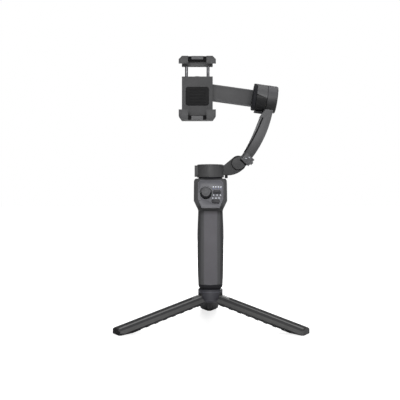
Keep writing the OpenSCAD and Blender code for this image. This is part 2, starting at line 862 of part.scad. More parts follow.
// Groove along the front face near the arm's inner edge
module arm_groove() {
    near = [arm_groove_in, arm_groove_up];
    far = [arm_groove_in + arm_groove_w, arm_groove_up];
    down = [0, 2 * arm_groove_up];
    polygon(concat(
        bow(arm_head_in + near - down, arm_foot_in + near, -arm_bow_in, arm_steps),
        bow(arm_foot_in + far, arm_head_in + far - down, arm_bow_in, arm_steps)));
}

// Inside of the arm, a wall's thickness within its outline
module arm_hollow() {
    side = [arm_side_wall, 0];
    up = [0, hollow_foot];
    polygon(concat(
        bow(arm_foot_out - side + up, arm_head_out - side, arm_bow_out, arm_steps),
        bow(arm_head_in + side - [0, hollow_top_in], arm_foot_in + side + up, -arm_bow_in, arm_steps)));
}

module cheek(y0, y1) slab(y0, y1) {
    circle(r = disc_r);
    polygon(cheek_outline);
}

module arm_knuckle_space(y0, y1) hinge_axes() slab(y0, y1) circle(r = arm_clear_r);

module upper_arm() color(charcoal) stand() difference() {
    union() {
        difference() {
            union() {
                hinge_axes() slab(-arm_d / 2, arm_d / 2) arm_outline();
                hinge_axes() cheek(-arm_d / 2, -link_t / 2 - gap);
                hinge_axes() cheek(link_t / 2 + gap, arm_d / 2);
            }
            arm_knuckle_space(-link_t / 2 - gap, link_t / 2 + gap);
            hinge_axes() slab(-arm_d / 2 - over, -arm_d / 2 + arm_groove_t) arm_groove();
            hinge_axes() slab(-arm_d / 2 + arm_wall, arm_d / 2 - cover_t) arm_hollow();
            hinge_axes() slab(arm_d / 2 - cover_t, arm_d) arm_hollow();
            tilt_axes() rod_x(motor_d + 2 * rotor_gap, -hinge_x, 0);
        }
        tilt_axes() rod_x(motor_d, 0, cup_w);
        tilt_axes() box_between(
            [-inner_w, -stop_tab_w / 2, -motor_d / 2 - rotor_gap - stop_tab_t],
            [0, stop_tab_w / 2, -motor_d / 2 - rotor_gap]);
    }
    tilt_axes() {
        rod_x(cup_in_d, -over, cup_web[0]);
        rod_x(cup_in_d, cup_web[1], cup_w + over);
        rod_x(post_out_d, cup_web[0] - over, cup_web[1] + over);
    }
    hinge_axes() rod_y(hinge_pin_d + run_fit, -arm_d / 2 + pin_skin, arm_d / 2 - pin_skin);
    slide_axes() box_between(
        [slot_from, -arm_d / 2 - over, -slider_side - slot_open],
        [slider_out + slider_fit, -arm_d / 2 + slider_t + slider_fit, slider_other + slider_fit]);
}

module upper_arm_cover() color(charcoal) stand() intersection() {
    hinge_axes() slab(arm_d / 2 - cover_t, arm_d / 2) arm_hollow();
    hinge_axes() slab(0, arm_d) arm_outline();
}

module lock_slider() color("#4a4a4e") stand() slide_axes() {
    box_between(
        [slider_in, -arm_d / 2 - slider_rise, -slider_side],
        [slider_out, -arm_d / 2 + slider_t, slider_other]);
    box_between(
        [(slider_in + slider_out - slider_tab_w) / 2, -arm_d / 2 - slider_rise, -slider_side - slider_tab_t],
        [(slider_in + slider_out + slider_tab_w) / 2, -arm_d / 2 + slider_t, -slider_side]);
}

module hinge_washers() color(metal) stand() hinge_axes() {
    ring_y(washer_d, hinge_pin_d, link_t / 2, link_t / 2 + gap);
    ring_y(washer_d, hinge_pin_d, -link_t / 2 - gap, -link_t / 2);
}

// Tilt motor
tilt_post_top = inner_w - shell_t - end_gap;

module tilt_end_cap() color(dark) stand() tilt_axes() rod_x(cup_in_d, cup_w - end_cap_t, cup_w);

module tilt_stator() color(copper) stand() tilt_motor_axes() {
    motor_stator(inner_w - shell_t);
    motor_post(-cup_web[1], tilt_post_top);
}

module tilt_bearings() color(metal) stand() tilt_motor_axes() motor_bearings(-cup_web[1], tilt_post_top);

module tilt_shaft() color(metal) stand() tilt_motor_axes()
    translate([0, 0, -cup_web[1]]) cylinder(d = shaft_d, h = inner_w + cup_web[1]);

module tilt_magnets() color("#50525a") stand() tilt_motor_axes() motor_magnets(inner_w - shell_t);

seam_slope = 17;

module tilt_housing(side) intersection() {
    tilt_motor_axes() difference() {
        translate([0, 0, gap]) cylinder(d = motor_d, h = inner_w - gap);
        cylinder(d = rotor_in_d, h = inner_w - shell_t);
        cylinder(d = shaft_d, h = inner_w + over);
    }
    tilt_axes() translate([-inner_w / 2, 0, 0]) rotate([0, seam_slope, 0])
        translate([-motor_d, -motor_d, side > 0 ? 0 : -2 * motor_d]) cube(2 * motor_d);
}

module tilt_housing_upper() color(charcoal) stand() tilt_housing(1);
module tilt_housing_lower() color(charcoal) stand() tilt_housing(-1);

// Roll arm and roll motor
roll_x = -roll_left;
roll_run = (tilt_x - roll_x) / cos(tilt_slope);
roll_z = tilt_z + (tilt_x - roll_x) * tan(tilt_slope);
rotor_y = 3;
roll_room = 12;
roll_plate_t = 4;
beam_y = [10, 17.5];
beam_h = 22;
beam_wall = 2;
beam_cover_t = 1.5;
roll_seam_y = rotor_y + shell_t + roll_room;

module roll_axes() translate([roll_x, 0, roll_z]) children();
module roll_motor_axes() translate([roll_x, roll_seam_y - gap, roll_z]) rotate([90, 0, 0]) children();

module beam_box(inset, y0, y1, x_start, x_end) box_between(
    [x_start, y0, -beam_h / 2 + inset],
    [x_end, y1, beam_h / 2 - inset]);

module beam_cover_space(y1) tilt_axes() beam_box(beam_wall, beam_y[1] - beam_cover_t, y1,
    motor_d / 2 + beam_wall - roll_run, -inner_w - collar_w - beam_wall);

module roll_arm() color(charcoal) stand() difference() {
    union() {
        tilt_axes() rod_x(motor_d, -inner_w - collar_w, -inner_w);
        tilt_axes() beam_box(0, beam_y[0], beam_y[1], -roll_run, -inner_w - collar_w / 2);
        roll_axes() rod_y(motor_d, roll_seam_y, roll_seam_y + roll_plate_t);
    }
    roll_axes() rod_y(motor_d + 2 * rotor_gap, -over, roll_seam_y);
    roll_axes() rod_y(post_out_d, 0, roll_seam_y + roll_plate_t - over);
    beam_cover_space(motor_d);
}

module roll_arm_cover() color(dark) stand() beam_cover_space(beam_y[1]);

module roll_stator() color(copper) stand() roll_motor_axes() {
    motor_stator(roll_room - shell_t);
    motor_post(-roll_plate_t + over - gap, roll_room - end_gap - shell_t);
}

module roll_bearings() color(metal) stand() roll_motor_axes()
    motor_bearings(-roll_plate_t + over - gap, roll_room - end_gap - shell_t);

module roll_rotor() color(charcoal) stand() {
    roll_axes() difference() {
        rod_y(motor_d, rotor_y, roll_seam_y - gap);
        rod_y(rotor_in_d - 2 * magnet_t, rotor_y + shell_t, roll_seam_y);
    }
    roll_axes() rod_y(shaft_d, rotor_y, roll_seam_y + over);
}

// Clamp: y grows away from the phone's front
pad_t = 1.5;
pad_y = -4;
base_y = pad_y + pad_t;
lip_gap = 0.2;
lip_t = 2;
lip_y = pad_y - phone_t - lip_gap;
base_w = 40;
base_top = 16;
jaw_pad_t = 1;
upper_jaw_corner = 3.6;
lower_jaw_corner = 2.4;
jaw_cut_len = 140;
rod_x_at = 14;
rod_top_in = 2;
rod_len = 48;
spring_d = 3.6;
spring_wire = 0.6;
bridge_back = 1;
bridge_gap_w = 4.4;
bridge_gap_back = 2.6;
back_tab_h = 6;
pad_w = 30;
pad_h = 24;
pad_corner = 3;
seat = jaw_open / 2;
rod_foot = seat + upper_jaw_t - rod_top_in - rod_len;
spring_short = 12;
spring_foot = rod_foot - jaw_close - spring_short;
rod_y_at = (base_y + rotor_y) / 2;

module clamp_axes() translate([roll_x, 0, roll_z]) children();

module guide_bores(d, z0, z1) for (x = [-rod_x_at, rod_x_at])
    translate([x, rod_y_at, z0]) cylinder(d = d, h = z1 - z0);

// One jaw drawn as the lower one: its seat at z = 0, its body below, its lips rising
module jaw(t, lip_h, corner) {
    corner_face = norm([corner, corner]);
    difference() {
        box_between([-jaw_w / 2, lip_y - lip_t, -t], [jaw_w / 2, rotor_y, -jaw_pad_t]);
        box_between(
            [-jaw_w / 2 + lip_w, lip_y - lip_t - over, -t - over],
            [jaw_w / 2 - lip_w, lip_y - lip_t + bridge_back, over]);
        for (side = [-1, 1]) translate([side * (jaw_w / 2 - lip_w - bridge_gap_w / 2), 0, 0]) box_between(
            [-bridge_gap_w / 2, lip_y - lip_t - over, -t - over],
            [bridge_gap_w / 2, lip_y - lip_t + bridge_gap_back, over]);
        for (side = [-1, 1]) translate([side * jaw_w / 2, 0, -t]) rotate([0, 45, 0])
            cube([corner_face, jaw_cut_len, corner_face], center = true);
    }
    for (side = [-1, 1]) translate([side * (jaw_w - lip_w) / 2, 0, 0]) {
        box_between([-lip_w / 2, lip_y - lip_t, -jaw_pad_t - over], [lip_w / 2, lip_y, lip_h]);
    }
}

module jaw_pad() box_between([-jaw_w / 2, lip_y, -jaw_pad_t], [jaw_w / 2, base_y, 0]);

module clamp_base() color(charcoal) stand() clamp_axes() difference() {
    union() {
        box_between([-base_w / 2, base_y, -seat - jaw_pad_t - over], [base_w / 2, rotor_y, base_top]);
        translate([0, 0, -seat]) jaw(lower_jaw_t, lower_lip_h, lower_jaw_corner);
    }
    guide_bores(rod_d + run_fit, spring_foot, base_top + over);
    translate([0, 0, -seat]) jaw_pad();
}

module back_pad() color(black) stand() clamp_axes() slab(pad_y, base_y)
    translate([0, (base_top - seat) / 2]) round_rect(pad_w, pad_h, pad_corner);

module lower_jaw_pad() color(black) stand() clamp_axes() translate([0, 0, -seat]) jaw_pad();

module clamp_springs() color(metal) stand() clamp_axes()
    for (x = [-rod_x_at, rod_x_at]) translate([x, rod_y_at, spring_foot])
        ring(spring_d, spring_d - 2 * spring_wire, rod_foot - spring_foot);

module upper_jaw() color(charcoal) stand() clamp_axes() difference() {
    union() {
        translate([0, 0, seat]) rotate([0, 180, 0]) jaw(upper_jaw_t, upper_lip_h, upper_jaw_corner);
        box_between([-base_w / 2, base_y, seat - back_tab_h], [base_w / 2, rotor_y, seat + jaw_pad_t + over]);
    }
    guide_bores(rod_d, rod_foot, rod_foot + rod_len);
    translate([0, 0, seat]) rotate([0, 180, 0]) jaw_pad();
}

module upper_jaw_pad() color(black) stand() clamp_axes() translate([0, 0, seat]) rotate([0, 180, 0]) jaw_pad();

module guide_rods() color(metal) stand() clamp_axes() guide_bores(rod_d, rod_foot, rod_foot + rod_len);

tripod_hub();
tripod_stud();
hub_pad();
leg_pins();
leg_left();
leg_right();
leg_rear();
foot_left();
foot_right();
foot_rear();
bottom_cap();
tripod_insert();
handle_front_shell();
handle_rear_shell();
grip_strip();
handle_screws();
battery_cell();
main_board();
usb_port();
control_panel();
panel_lights();
record_button();
mode_button();
joystick_base();
joystick_yoke();
joystick_cap();
pan_base();
pan_stator();
pan_bearings();
pan_shaft();
pan_magnets();
pan_housing();
pan_lid();
pan_side_cover();
lower_link();
hinge_pin();
upper_arm();
upper_arm_cover();
lock_slider();
hinge_washers();
tilt_end_cap();
tilt_stator();
tilt_bearings();
tilt_housing_upper();
tilt_housing_lower();
tilt_magnets();
tilt_shaft();
roll_arm();
roll_arm_cover();
roll_stator();
roll_bearings();
roll_rotor();
clamp_base();
back_pad();
lower_jaw_pad();
clamp_springs();
upper_jaw();
upper_jaw_pad();
guide_rods();
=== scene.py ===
import math
import bpy
import bmesh
from mathutils import Matrix, Vector


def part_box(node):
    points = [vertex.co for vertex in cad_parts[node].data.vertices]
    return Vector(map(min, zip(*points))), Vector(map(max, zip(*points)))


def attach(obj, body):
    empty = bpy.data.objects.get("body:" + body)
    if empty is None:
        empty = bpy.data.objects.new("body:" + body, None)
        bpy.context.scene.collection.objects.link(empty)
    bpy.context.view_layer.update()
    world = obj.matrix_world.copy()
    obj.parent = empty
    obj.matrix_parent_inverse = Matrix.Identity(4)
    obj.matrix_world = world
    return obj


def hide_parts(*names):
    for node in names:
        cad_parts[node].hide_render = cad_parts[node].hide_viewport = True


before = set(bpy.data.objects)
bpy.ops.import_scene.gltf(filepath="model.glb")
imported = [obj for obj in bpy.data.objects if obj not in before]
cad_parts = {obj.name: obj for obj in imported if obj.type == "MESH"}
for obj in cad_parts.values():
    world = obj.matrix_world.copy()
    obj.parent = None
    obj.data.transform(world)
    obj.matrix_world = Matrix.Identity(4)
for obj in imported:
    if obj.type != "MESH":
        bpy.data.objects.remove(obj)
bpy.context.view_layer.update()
print("frame loaded:", len(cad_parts), "nodes")

mm = 0.001

# camera, floor and light, in metres

viewSettings = {
    "cameraPlace": (-0.0135, -0.929353, 0.162),
    "cameraTurn": (90, 0, 0),
    "lens": 62.3,
    "floorSize": 30,
    "floorDrop": 0.0002,
    "worldStrength": 0.05,
    "key": {"place": (-0.1, -1.9, 0.65), "aim": (0, 0, 0.17), "size": (1.3, 0.5), "power": 14.6},
    "fill": {"place": (1.4, -1.2, 0.9), "aim": (0, 0, 0.17), "size": (0.8, 0.8), "power": 2.6},
    "back": {"place": (0.5, 1.6, 0.8), "aim": (0, 0, 0.17), "size": (1.6, 1.0), "power": 20},
    "top": {"place": (0.0, 0.1, 1.8), "aim": (0, 0, 0.15), "size": (1.5, 1.5), "power": 9.4},
}


def deselectAll():
    if bpy.context.object and bpy.context.object.mode != "OBJECT":
        bpy.ops.object.mode_set(mode="OBJECT")
    bpy.ops.object.select_all(action="DESELECT")


def choose(piece):
    deselectAll()
    bpy.context.view_layer.objects.active = piece
    piece.select_set(True)


def makeCamera(settings):
    bpy.ops.object.camera_add(location=settings["cameraPlace"],
                              rotation=[math.radians(a) for a in settings["cameraTurn"]])
    camera = bpy.context.object
    camera.name = "photoCamera"
    camera.data.lens = settings["lens"]
    camera.data.sensor_width = 36
    camera.data.clip_end = 60
    bpy.context.scene.camera = camera


def makeLamp(name, place, aim, size, power):
    turn = (Vector(aim) - Vector(place)).to_track_quat("-Z", "Y").to_euler()
    bpy.ops.object.light_add(type="AREA", location=place, rotation=turn)
    lamp = bpy.context.object
    lamp.name = name
    lamp.data.shape = "RECTANGLE"
    lamp.data.size, lamp.data.size_y = size
    lamp.data.energy = power


deselectAll()
makeCamera(viewSettings)
for lampName in ("key", "fill", "back", "top"):
    makeLamp(lampName + "Lamp", **viewSettings[lampName])
bpy.context.scene.view_settings.view_transform = "Standard"
print("camera and lamps placed")


class Wire:
    # one socket of a node tree that takes Python's operators
    def __init__(self, sheet, socket):
        self.sheet = sheet
        self.socket = socket

    def maths(self, operation, *values):
        return self.sheet.node("ShaderNodeMath", {"operation": operation},
                               dict(enumerate((self,) + values)))

    def __add__(self, other): return self.maths("ADD", other)
    def __radd__(self, other): return self.maths("ADD", other)
    def __sub__(self, other): return self.maths("SUBTRACT", other)
    def __mul__(self, other): return self.maths("MULTIPLY", other)


class MaterialSheet:
    # one material's node tree
    def __init__(self, name):
        self.material = bpy.data.materials.new(name)
        self.material.use_nodes = True
        self.tree = self.material.node_tree
        self.tree.nodes.clear()

    def node(self, kind, settings=None, sockets=None, output=0):
        made = self.tree.nodes.new(kind)
        for key, value in (settings or {}).items():
            if key == "stops":
                ramp = made.color_ramp.elements
                while len(ramp) < len(value):
                    ramp.new(0.5)
                for stop, (position, shade) in zip(ramp, value):
                    stop.position = position
                    stop.color = (shade, shade, shade, 1)
            else:
                setattr(made, key, value)
        for key, value in (sockets or {}).items():
            if isinstance(value, Wire):
                self.tree.links.new(value.socket, made.inputs[key])
            else:
                made.inputs[key].default_value = value
        return Wire(self, made.outputs[output])

    def place(self):
        return self.node("ShaderNodeTexCoord", output="Object")

    def noise(self, scale, detail=2.0, roughness=0.5, place=None):
        return self.node("ShaderNodeTexNoise", {}, {
            "Vector": place or self.place(), "Scale": scale, "Detail": detail, "Roughness": roughness})

    def ramp(self, factor, stops):
        return self.node("ShaderNodeValToRGB", {"stops": stops}, {"Fac": factor})

    def mixColour(self, factor, first, second, blend="MIX"):
        mixed = self.tree.nodes.new("ShaderNodeMix")
        mixed.data_type = "RGBA"
        mixed.blend_type = blend
        for index, value in ((0, factor), (6, first), (7, second)):
            if isinstance(value, Wire):
                self.tree.links.new(value.socket, mixed.inputs[index])
            else:
                mixed.inputs[index].default_value = value
        return Wire(self, mixed.outputs[2])

    def slope(self, value, span, first, last):
        # runs smoothly from first to last while the value crosses the span
        return self.node("ShaderNodeMapRange", {"interpolation_type": "SMOOTHSTEP"}, {
            "Value": value, "From Min": span[0], "From Max": span[1], "To Min": first, "To Max": last})

    def bump(self, height, distance, strength):
        return self.node("ShaderNodeBump", {}, {"Height": height, "Distance": distance, "Strength": strength})

    def principled(self, sockets):
        return self.surface(self.node("ShaderNodeBsdfPrincipled", {}, sockets))

    def surface(self, shader):
        out = self.tree.nodes.new("ShaderNodeOutputMaterial")
        self.tree.links.new(shader.socket, out.inputs["Surface"])
        return self.material


def rgba(colour, factor=1.0):
    return tuple(min(1.0, c * factor) for c in colour) + (1.0,)


# painted shade: the tone of a piece as a share of its full colour, darker below a height, towards its sides and in
# a band at the neck; all in metres
neck = {"height": (0.145, 0.165), "dip": (0.1415, 0.1485, 0.151, 0.157)}
# painted shade: the grip darkens towards its sides and, with the strip, in a band at the neck
gripPaintedShade = {**neck, "share": 0.98, "side": (0.0105, 0.0145), "sideShare": 0.55, "dipShare": 0.3}
stripPaintedShade = {**neck, "share": 1.0, "dipShare": 0.45}
# painted shade: the arm darkens towards its lower end and the cup towards its underside
armPaintedShade = {"height": (0.218, 0.25), "share": 0.4}
cupPaintedShade = {"height": (0.281, 0.303), "share": 0.14}


# moulded plastic: fine spark-eroded grain, faint mottling and handling marks in the gloss, and where given the
# painted shade listed above
def mouldedPlastic(name, colour, rough, grain, paintedShade=None, specular=0.4, grainScale=3200, mottle=0.1):
    sheet = MaterialSheet(name)
    place = sheet.place()
    fine = sheet.noise(grainScale, 3.0, 0.6, place)
    cloud = sheet.noise(38, 3.0, 0.55, place)
    handling = sheet.noise(140, 4.0, 0.65, place)
    tone = sheet.mixColour(sheet.ramp(cloud, [(0.3, 0), (0.7, 1)]), rgba(colour, 1 - mottle),
                           rgba(colour, 1 + mottle))
    speck = sheet.mixColour(sheet.ramp(fine, [(0.35, 0), (0.75, 1)]), tone, rgba(colour, 1 + 2.4 * mottle))
    # painted shade: darker towards the sides, below a height and in a band at the neck
    if paintedShade:
        share = paintedShade["share"]
        if "sideShare" in paintedShade:
            side = sheet.node("ShaderNodeSeparateXYZ", {}, {0: place}, output="X").maths("ABSOLUTE")
            share = sheet.slope(side, paintedShade["side"], share, paintedShade["sideShare"])
        level = sheet.node("ShaderNodeSeparateXYZ", {}, {0: place}, output="Z")
        share = sheet.slope(level, paintedShade["height"], share, 1.0)
        if "dip" in paintedShade:
            share = share * (sheet.slope(level, paintedShade["dip"][:2], 1.0, paintedShade["dipShare"])
                             + sheet.slope(level, paintedShade["dip"][2:], 0.0, 1.0 - paintedShade["dipShare"]))
        speck = sheet.mixColour(1.0, speck, share, "MULTIPLY")
    gloss = rough + (handling - 0.5) * 0.16 + (fine - 0.5) * 0.08
    height = sheet.bump(fine, 0.00004 * grain, 0.8)
    return sheet.principled({
        "Base Color": speck, "Roughness": gloss, "Normal": height, "Specular IOR Level": specular})


# soft rubber with dust in its grain
def softRubber(name, colour, rough=0.72):
    sheet = MaterialSheet(name)
    place = sheet.place()
    dust = sheet.noise(900, 4.0, 0.7, place)
    cloud = sheet.noise(55, 2.0, 0.5, place)
    tone = sheet.mixColour(sheet.ramp(dust, [(0.45, 0), (0.8, 1)]), rgba(colour, 0.9), rgba(colour, 1.7))
    gloss = rough + (cloud - 0.5) * 0.2
    return sheet.principled({
        "Base Color": tone, "Roughness": gloss, "Normal": sheet.bump(dust, 0.00003, 0.7),
        "Specular IOR Level": 0.25})


# turned metal: fine rings of tool marks round the piece's own axis, and a few stains
def turnedMetal(name, colour, rough=0.28, marks=9000, axis="Z"):
    sheet = MaterialSheet(name)
    place = sheet.place()
    rings = sheet.node("ShaderNodeTexWave", {"wave_type": "BANDS", "bands_direction": axis}, {
        "Vector": place, "Scale": marks / 6, "Distortion": 1.5, "Detail": 2.0})
    stain = sheet.noise(120, 4.0, 0.6, place)
    tone = sheet.mixColour(sheet.ramp(stain, [(0.35, 0), (0.75, 1)]), rgba(colour), rgba(colour, 0.78))
    gloss = rough + (stain - 0.5) * 0.18 + (rings - 0.5) * 0.05
    return sheet.principled({
        "Base Color": tone, "Metallic": 1.0, "Roughness": gloss,
        "Normal": sheet.bump(rings, 0.000012, 0.5)})


# lacquered or printed surface with a thin clear coat, and an optional glow of its own colour
def clearCoated(name, colour, rough=0.35, coat=0.4, glow=0.0):
    sheet = MaterialSheet(name)
    place = sheet.place()
    cloud = sheet.noise(160, 3.0, 0.5, place)
    tone = sheet.mixColour(sheet.ramp(cloud, [(0.35, 0), (0.7, 1)]), rgba(colour, 0.92), rgba(colour, 1.05))
    return sheet.principled({
        "Base Color": tone, "Roughness": rough + (cloud - 0.5) * 0.12, "Coat Weight": coat,
        "Coat Roughness": 0.15, "Emission Color": rgba(colour), "Emission Strength": glow,
        "Normal": sheet.bump(cloud, 0.00001, 0.4)})


# enamelled copper wire laid in turns round a core
def woundCopper(name):
    sheet = MaterialSheet(name)
    place = sheet.place()
    turns = sheet.node("ShaderNodeTexWave", {"wave_type": "BANDS", "bands_direction": "Z"}, {
        "Vector": place, "Scale": 700, "Distortion": 0.6})
    tone = sheet.mixColour(turns, (0.2, 0.07, 0.03, 1), (0.62, 0.27, 0.12, 1))
    return sheet.principled({
        "Base Color": tone, "Metallic": 0.7, "Roughness": 0.3 + (turns - 0.5) * 0.1,
        "Normal": sheet.bump(turns, 0.0002, 0.8)})


def floorMaterial(near=0.76, nearRadius=0.2, farRadius=0.8):
    # white to the camera; near the object it lets the soft shadow show
    sheet = MaterialSheet("paleFloor")
    tone = sheet.mixColour(sheet.noise(3, 2.0), (0.86, 0.86, 0.86, 1), (0.9, 0.9, 0.9, 1))
    matte = sheet.node("ShaderNodeBsdfDiffuse", {}, {"Color": tone})
    reach = sheet.node("ShaderNodeVectorMath", {"operation": "LENGTH"}, {0: sheet.place()}, output="Value")
    away = sheet.node("ShaderNodeMapRange", {"interpolation_type": "SMOOTHSTEP"}, {
        "Value": reach, "From Min": nearRadius, "From Max": farRadius, "To Min": near, "To Max": 1.0})
    path = sheet.tree.nodes.new("ShaderNodeLightPath")
    seen = Wire(sheet, path.outputs["Is Camera Ray"]) + Wire(sheet, path.outputs["Is Transmission Ray"])
    white = sheet.node("ShaderNodeEmission", {}, {"Color": (1, 1, 1, 1), "Strength": seen * away})
    return sheet.surface(sheet.node("ShaderNodeAddShader", {}, {0: matte, 1: white}))


def makeWorld(strength):
    # the room's soft light, and plain white where the camera looks past the floor
    world = bpy.data.worlds.new("softRoom")
    bpy.context.scene.world = world
    world.use_nodes = True
    tree = world.node_tree
    tree.nodes.clear()
    path, seen, room, white, mixed, out = (tree.nodes.new("ShaderNode" + kind) for kind in (
        "LightPath", "Math", "Background", "Background", "MixShader", "OutputWorld"))
    seen.operation = "MAXIMUM"
    for background, light in ((room, strength), (white, 1.0)):
        background.inputs["Color"].default_value = (1, 1, 1, 1)
        background.inputs["Strength"].default_value = light
    for source, target in ((path.outputs["Is Camera Ray"], seen.inputs[0]),
                           (path.outputs["Is Transmission Ray"], seen.inputs[1]),
                           (seen.outputs[0], mixed.inputs[0]), (room.outputs[0], mixed.inputs[1]),
                           (white.outputs[0], mixed.inputs[2]), (mixed.outputs[0], out.inputs["Surface"])):
        tree.links.new(source, target)


makeWorld(viewSettings["worldStrength"])
deselectAll()
bpy.ops.mesh.primitive_plane_add(size=viewSettings["floorSize"], location=(0, 0, -viewSettings["floorDrop"]))
floor = bpy.context.object
floor.name = "paleFloor"
floor.data.materials.append(floorMaterial())

# the finishes ending in Edge are lighter copies that paint a highlight on the rounded edges
plastics = {  # colour, roughness, grain, painted shade, specular, grain scale
    "casing": ((0.109, 0.109, 0.114), 0.5, 1.0, gripPaintedShade),
    "casingEdge": ((0.141, 0.141, 0.147), 0.4, 0.4, gripPaintedShade),
    "motor": ((0.085, 0.085, 0.087), 0.46, 1.0),
    "motorEdge": ((0.093, 0.093, 0.096), 0.42, 0.4),
    "link": ((0.041, 0.041, 0.043), 0.48, 1.0),
    "linkEdge": ((0.046, 0.046, 0.048), 0.44, 0.4),
    "fork": ((0.059, 0.059, 0.061), 0.48, 1.0),
    "forkEdge": ((0.08, 0.08, 0.083), 0.4, 0.4),
    "cup": ((0.143, 0.143, 0.151), 0.46, 1.0, cupPaintedShade),
    "shell": ((0.139, 0.139, 0.144), 0.46, 1.0),
    "shellEdge": ((0.176, 0.176, 0.183), 0.4, 0.4),
    "shellLow": ((0.009, 0.009, 0.01), 0.46, 1.0),
    "arm": ((0.129, 0.129, 0.134), 0.48, 1.0, armPaintedShade),
    "armEdge": ((0.17, 0.17, 0.177), 0.4, 0.4, armPaintedShade),
    "clamp": ((0.089, 0.089, 0.092), 0.48, 1.0),
    "clampEdge": ((0.145, 0.145, 0.152), 0.4, 0.4),
    "leg": ((0.116, 0.116, 0.116), 0.42, 1.0),
    "legShade": ((0.08, 0.08, 0.082), 0.5, 1.0, None, 0),
    "legEdge": ((0.26, 0.26, 0.26), 0.42, 0.4, None, 0),
    "hub": ((0.063, 0.063, 0.074), 0.45, 1.0),
    "hubEdge": ((0.125, 0.125, 0.144), 0.38, 0.4),
    "strip": ((0.154, 0.149, 0.163), 0.62, 1.6, stripPaintedShade, 0.4, 2200),
    "panel": ((0.154, 0.154, 0.171), 0.36, 0.3),
    "panelEdge": ((0.48, 0.48, 0.52), 0.3, 0.2),
    "button": ((0.032, 0.032, 0.037), 0.42, 0.6),
    "buttonEdge": ((0.072, 0.072, 0.08), 0.32, 0.3),
    "stick": ((0.144, 0.144, 0.152), 0.5, 1.2),
    "stickEdge": ((0.224, 0.224, 0.237), 0.4, 0.6),
    "dark": ((0.022, 0.022, 0.026), 0.6, 1.0, None, 0.2),
    "darkEdge": ((0.042, 0.042, 0.046), 0.42, 0.4),
    "slider": ((0.102, 0.102, 0.107), 0.45, 1.0),
    "sliderEdge": ((0.16, 0.16, 0.166), 0.35, 0.4)}
finish = {name: mouldedPlastic(name + "Plastic", *given) for name, given in plastics.items()}
finish |= {
    "foot": softRubber("footRubber", (0.11, 0.11, 0.112)),
    # painted shade: a near-black finish for gaps, grooves and holes
    "gap": softRubber("shadowGap", (0.01, 0.01, 0.011), rough=0.8),
    "rubber": softRubber("padRubber", (0.021, 0.021, 0.022)),
    "steel": turnedMetal("turnedSteel", (0.56, 0.56, 0.58)),
    "rod": turnedMetal("drawnRod", (0.2, 0.2, 0.21), rough=0.4),
    "brass": turnedMetal("turnedBrass", (0.62, 0.45, 0.19), rough=0.3),
    "magnet": turnedMetal("platedMagnet", (0.3, 0.3, 0.32), rough=0.35),
    "copper": woundCopper("copperWinding"),
    # the white print glows; on the printed slider marks this glow is painted light
    "light": clearCoated("glowingPrintWhite", (0.82, 0.86, 0.94), glow=0.42),
    "lightBlue": clearCoated("glowingPrintBlue", (0.16, 0.22, 0.66), glow=0.15),
    "cell": clearCoated("cellWrap", (0.06, 0.14, 0.3)),
    "board": clearCoated("boardLacquer", (0.02, 0.1, 0.05))}
print("materials made:", len(finish))


# modelling tools: lengths in millimetres, and s is the settings dictionary of the piece

def startPiece(name):
    piece = bpy.context.object
    piece.name = name
    piece.data.name = name
    return piece


def duplicated(piece, name):
    choose(piece)
    bpy.ops.object.duplicate()
    return startPiece(name)


def editPiece(piece, mode="VERT"):
    choose(piece)
    bpy.ops.object.mode_set(mode="EDIT")
    bpy.ops.mesh.select_mode(type=mode)


def selectAll():
    bpy.ops.mesh.select_all(action="SELECT")


def pickFaces(piece, test):
    # selects the faces whose middle and normal pass the test
    mesh = bmesh.from_edit_mesh(piece.data)
    for group in (mesh.verts, mesh.edges, mesh.faces):
        for part in group:
            part.select = False
    for face in mesh.faces:
        if test(face.calc_center_median(), face.normal):
            face.select_set(True)
    mesh.select_flush_mode()
    bmesh.update_edit_mesh(piece.data)


def oneVertex(name, place):
    deselectAll()
    bpy.ops.mesh.primitive_plane_add(size=mm, location=(0, 0, 0))
    piece = startPiece(name)
    editPiece(piece)
    selectAll()
    bpy.ops.mesh.merge(type="CENTER")
    bpy.ops.transform.translate(value=place)
    return piece


def stepTo(delta):
    bpy.ops.mesh.extrude_region_move(TRANSFORM_OT_translate={"value": delta})


def tracePath(name, points):
    # a chain of edges drawn point by point; points in millimetres
    points = [Vector(p) * mm for p in points]
    piece = oneVertex(name, points[0])
    for before, after in zip(points, points[1:]):
        stepTo(after - before)
    return piece


def closeMesh(piece, merge=0.00001):
    selectAll()
    bpy.ops.mesh.remove_doubles(threshold=merge)
    bpy.ops.mesh.normals_make_consistent(inside=False)
    bpy.ops.object.mode_set(mode="OBJECT")
    return piece


def splitAt(piece, point, normal, keepFar):
    # keeps what lies on one side of a plane and closes the cut
    editPiece(piece)
    selectAll()
    bpy.ops.mesh.bisect(plane_co=point, plane_no=normal, use_fill=True,
                        clear_inner=keepFar, clear_outer=not keepFar)
    return closeMesh(piece)


def slabPiece(name, outline, y0, y1):
    # an outline in x and z, filled and pulled from y0 to y1
    piece = tracePath(name, [(x, y0, z) for x, z in outline])
    selectAll()
    bpy.ops.mesh.edge_face_add()
    stepTo((0, (y1 - y0) * mm, 0))
    return closeMesh(piece)


def turnedPiece(name, profile, steps=128):
    # a profile of radius and height spun round z
    piece = tracePath(name, [(r, 0, z) for r, z in profile])
    selectAll()
    bpy.ops.mesh.spin(steps=steps, angle=2 * math.pi, center=(0, 0, 0), axis=(0, 0, 1))
    return closeMesh(piece)


def blockPiece(name, low, high):
    deselectAll()
    low, high = Vector(low) * mm, Vector(high) * mm
    bpy.ops.mesh.primitive_cube_add(size=1, location=(low + high) / 2)
    piece = startPiece(name)
    piece.scale = high - low
    bpy.ops.object.transform_apply(location=True, rotation=False, scale=True)
    return piece


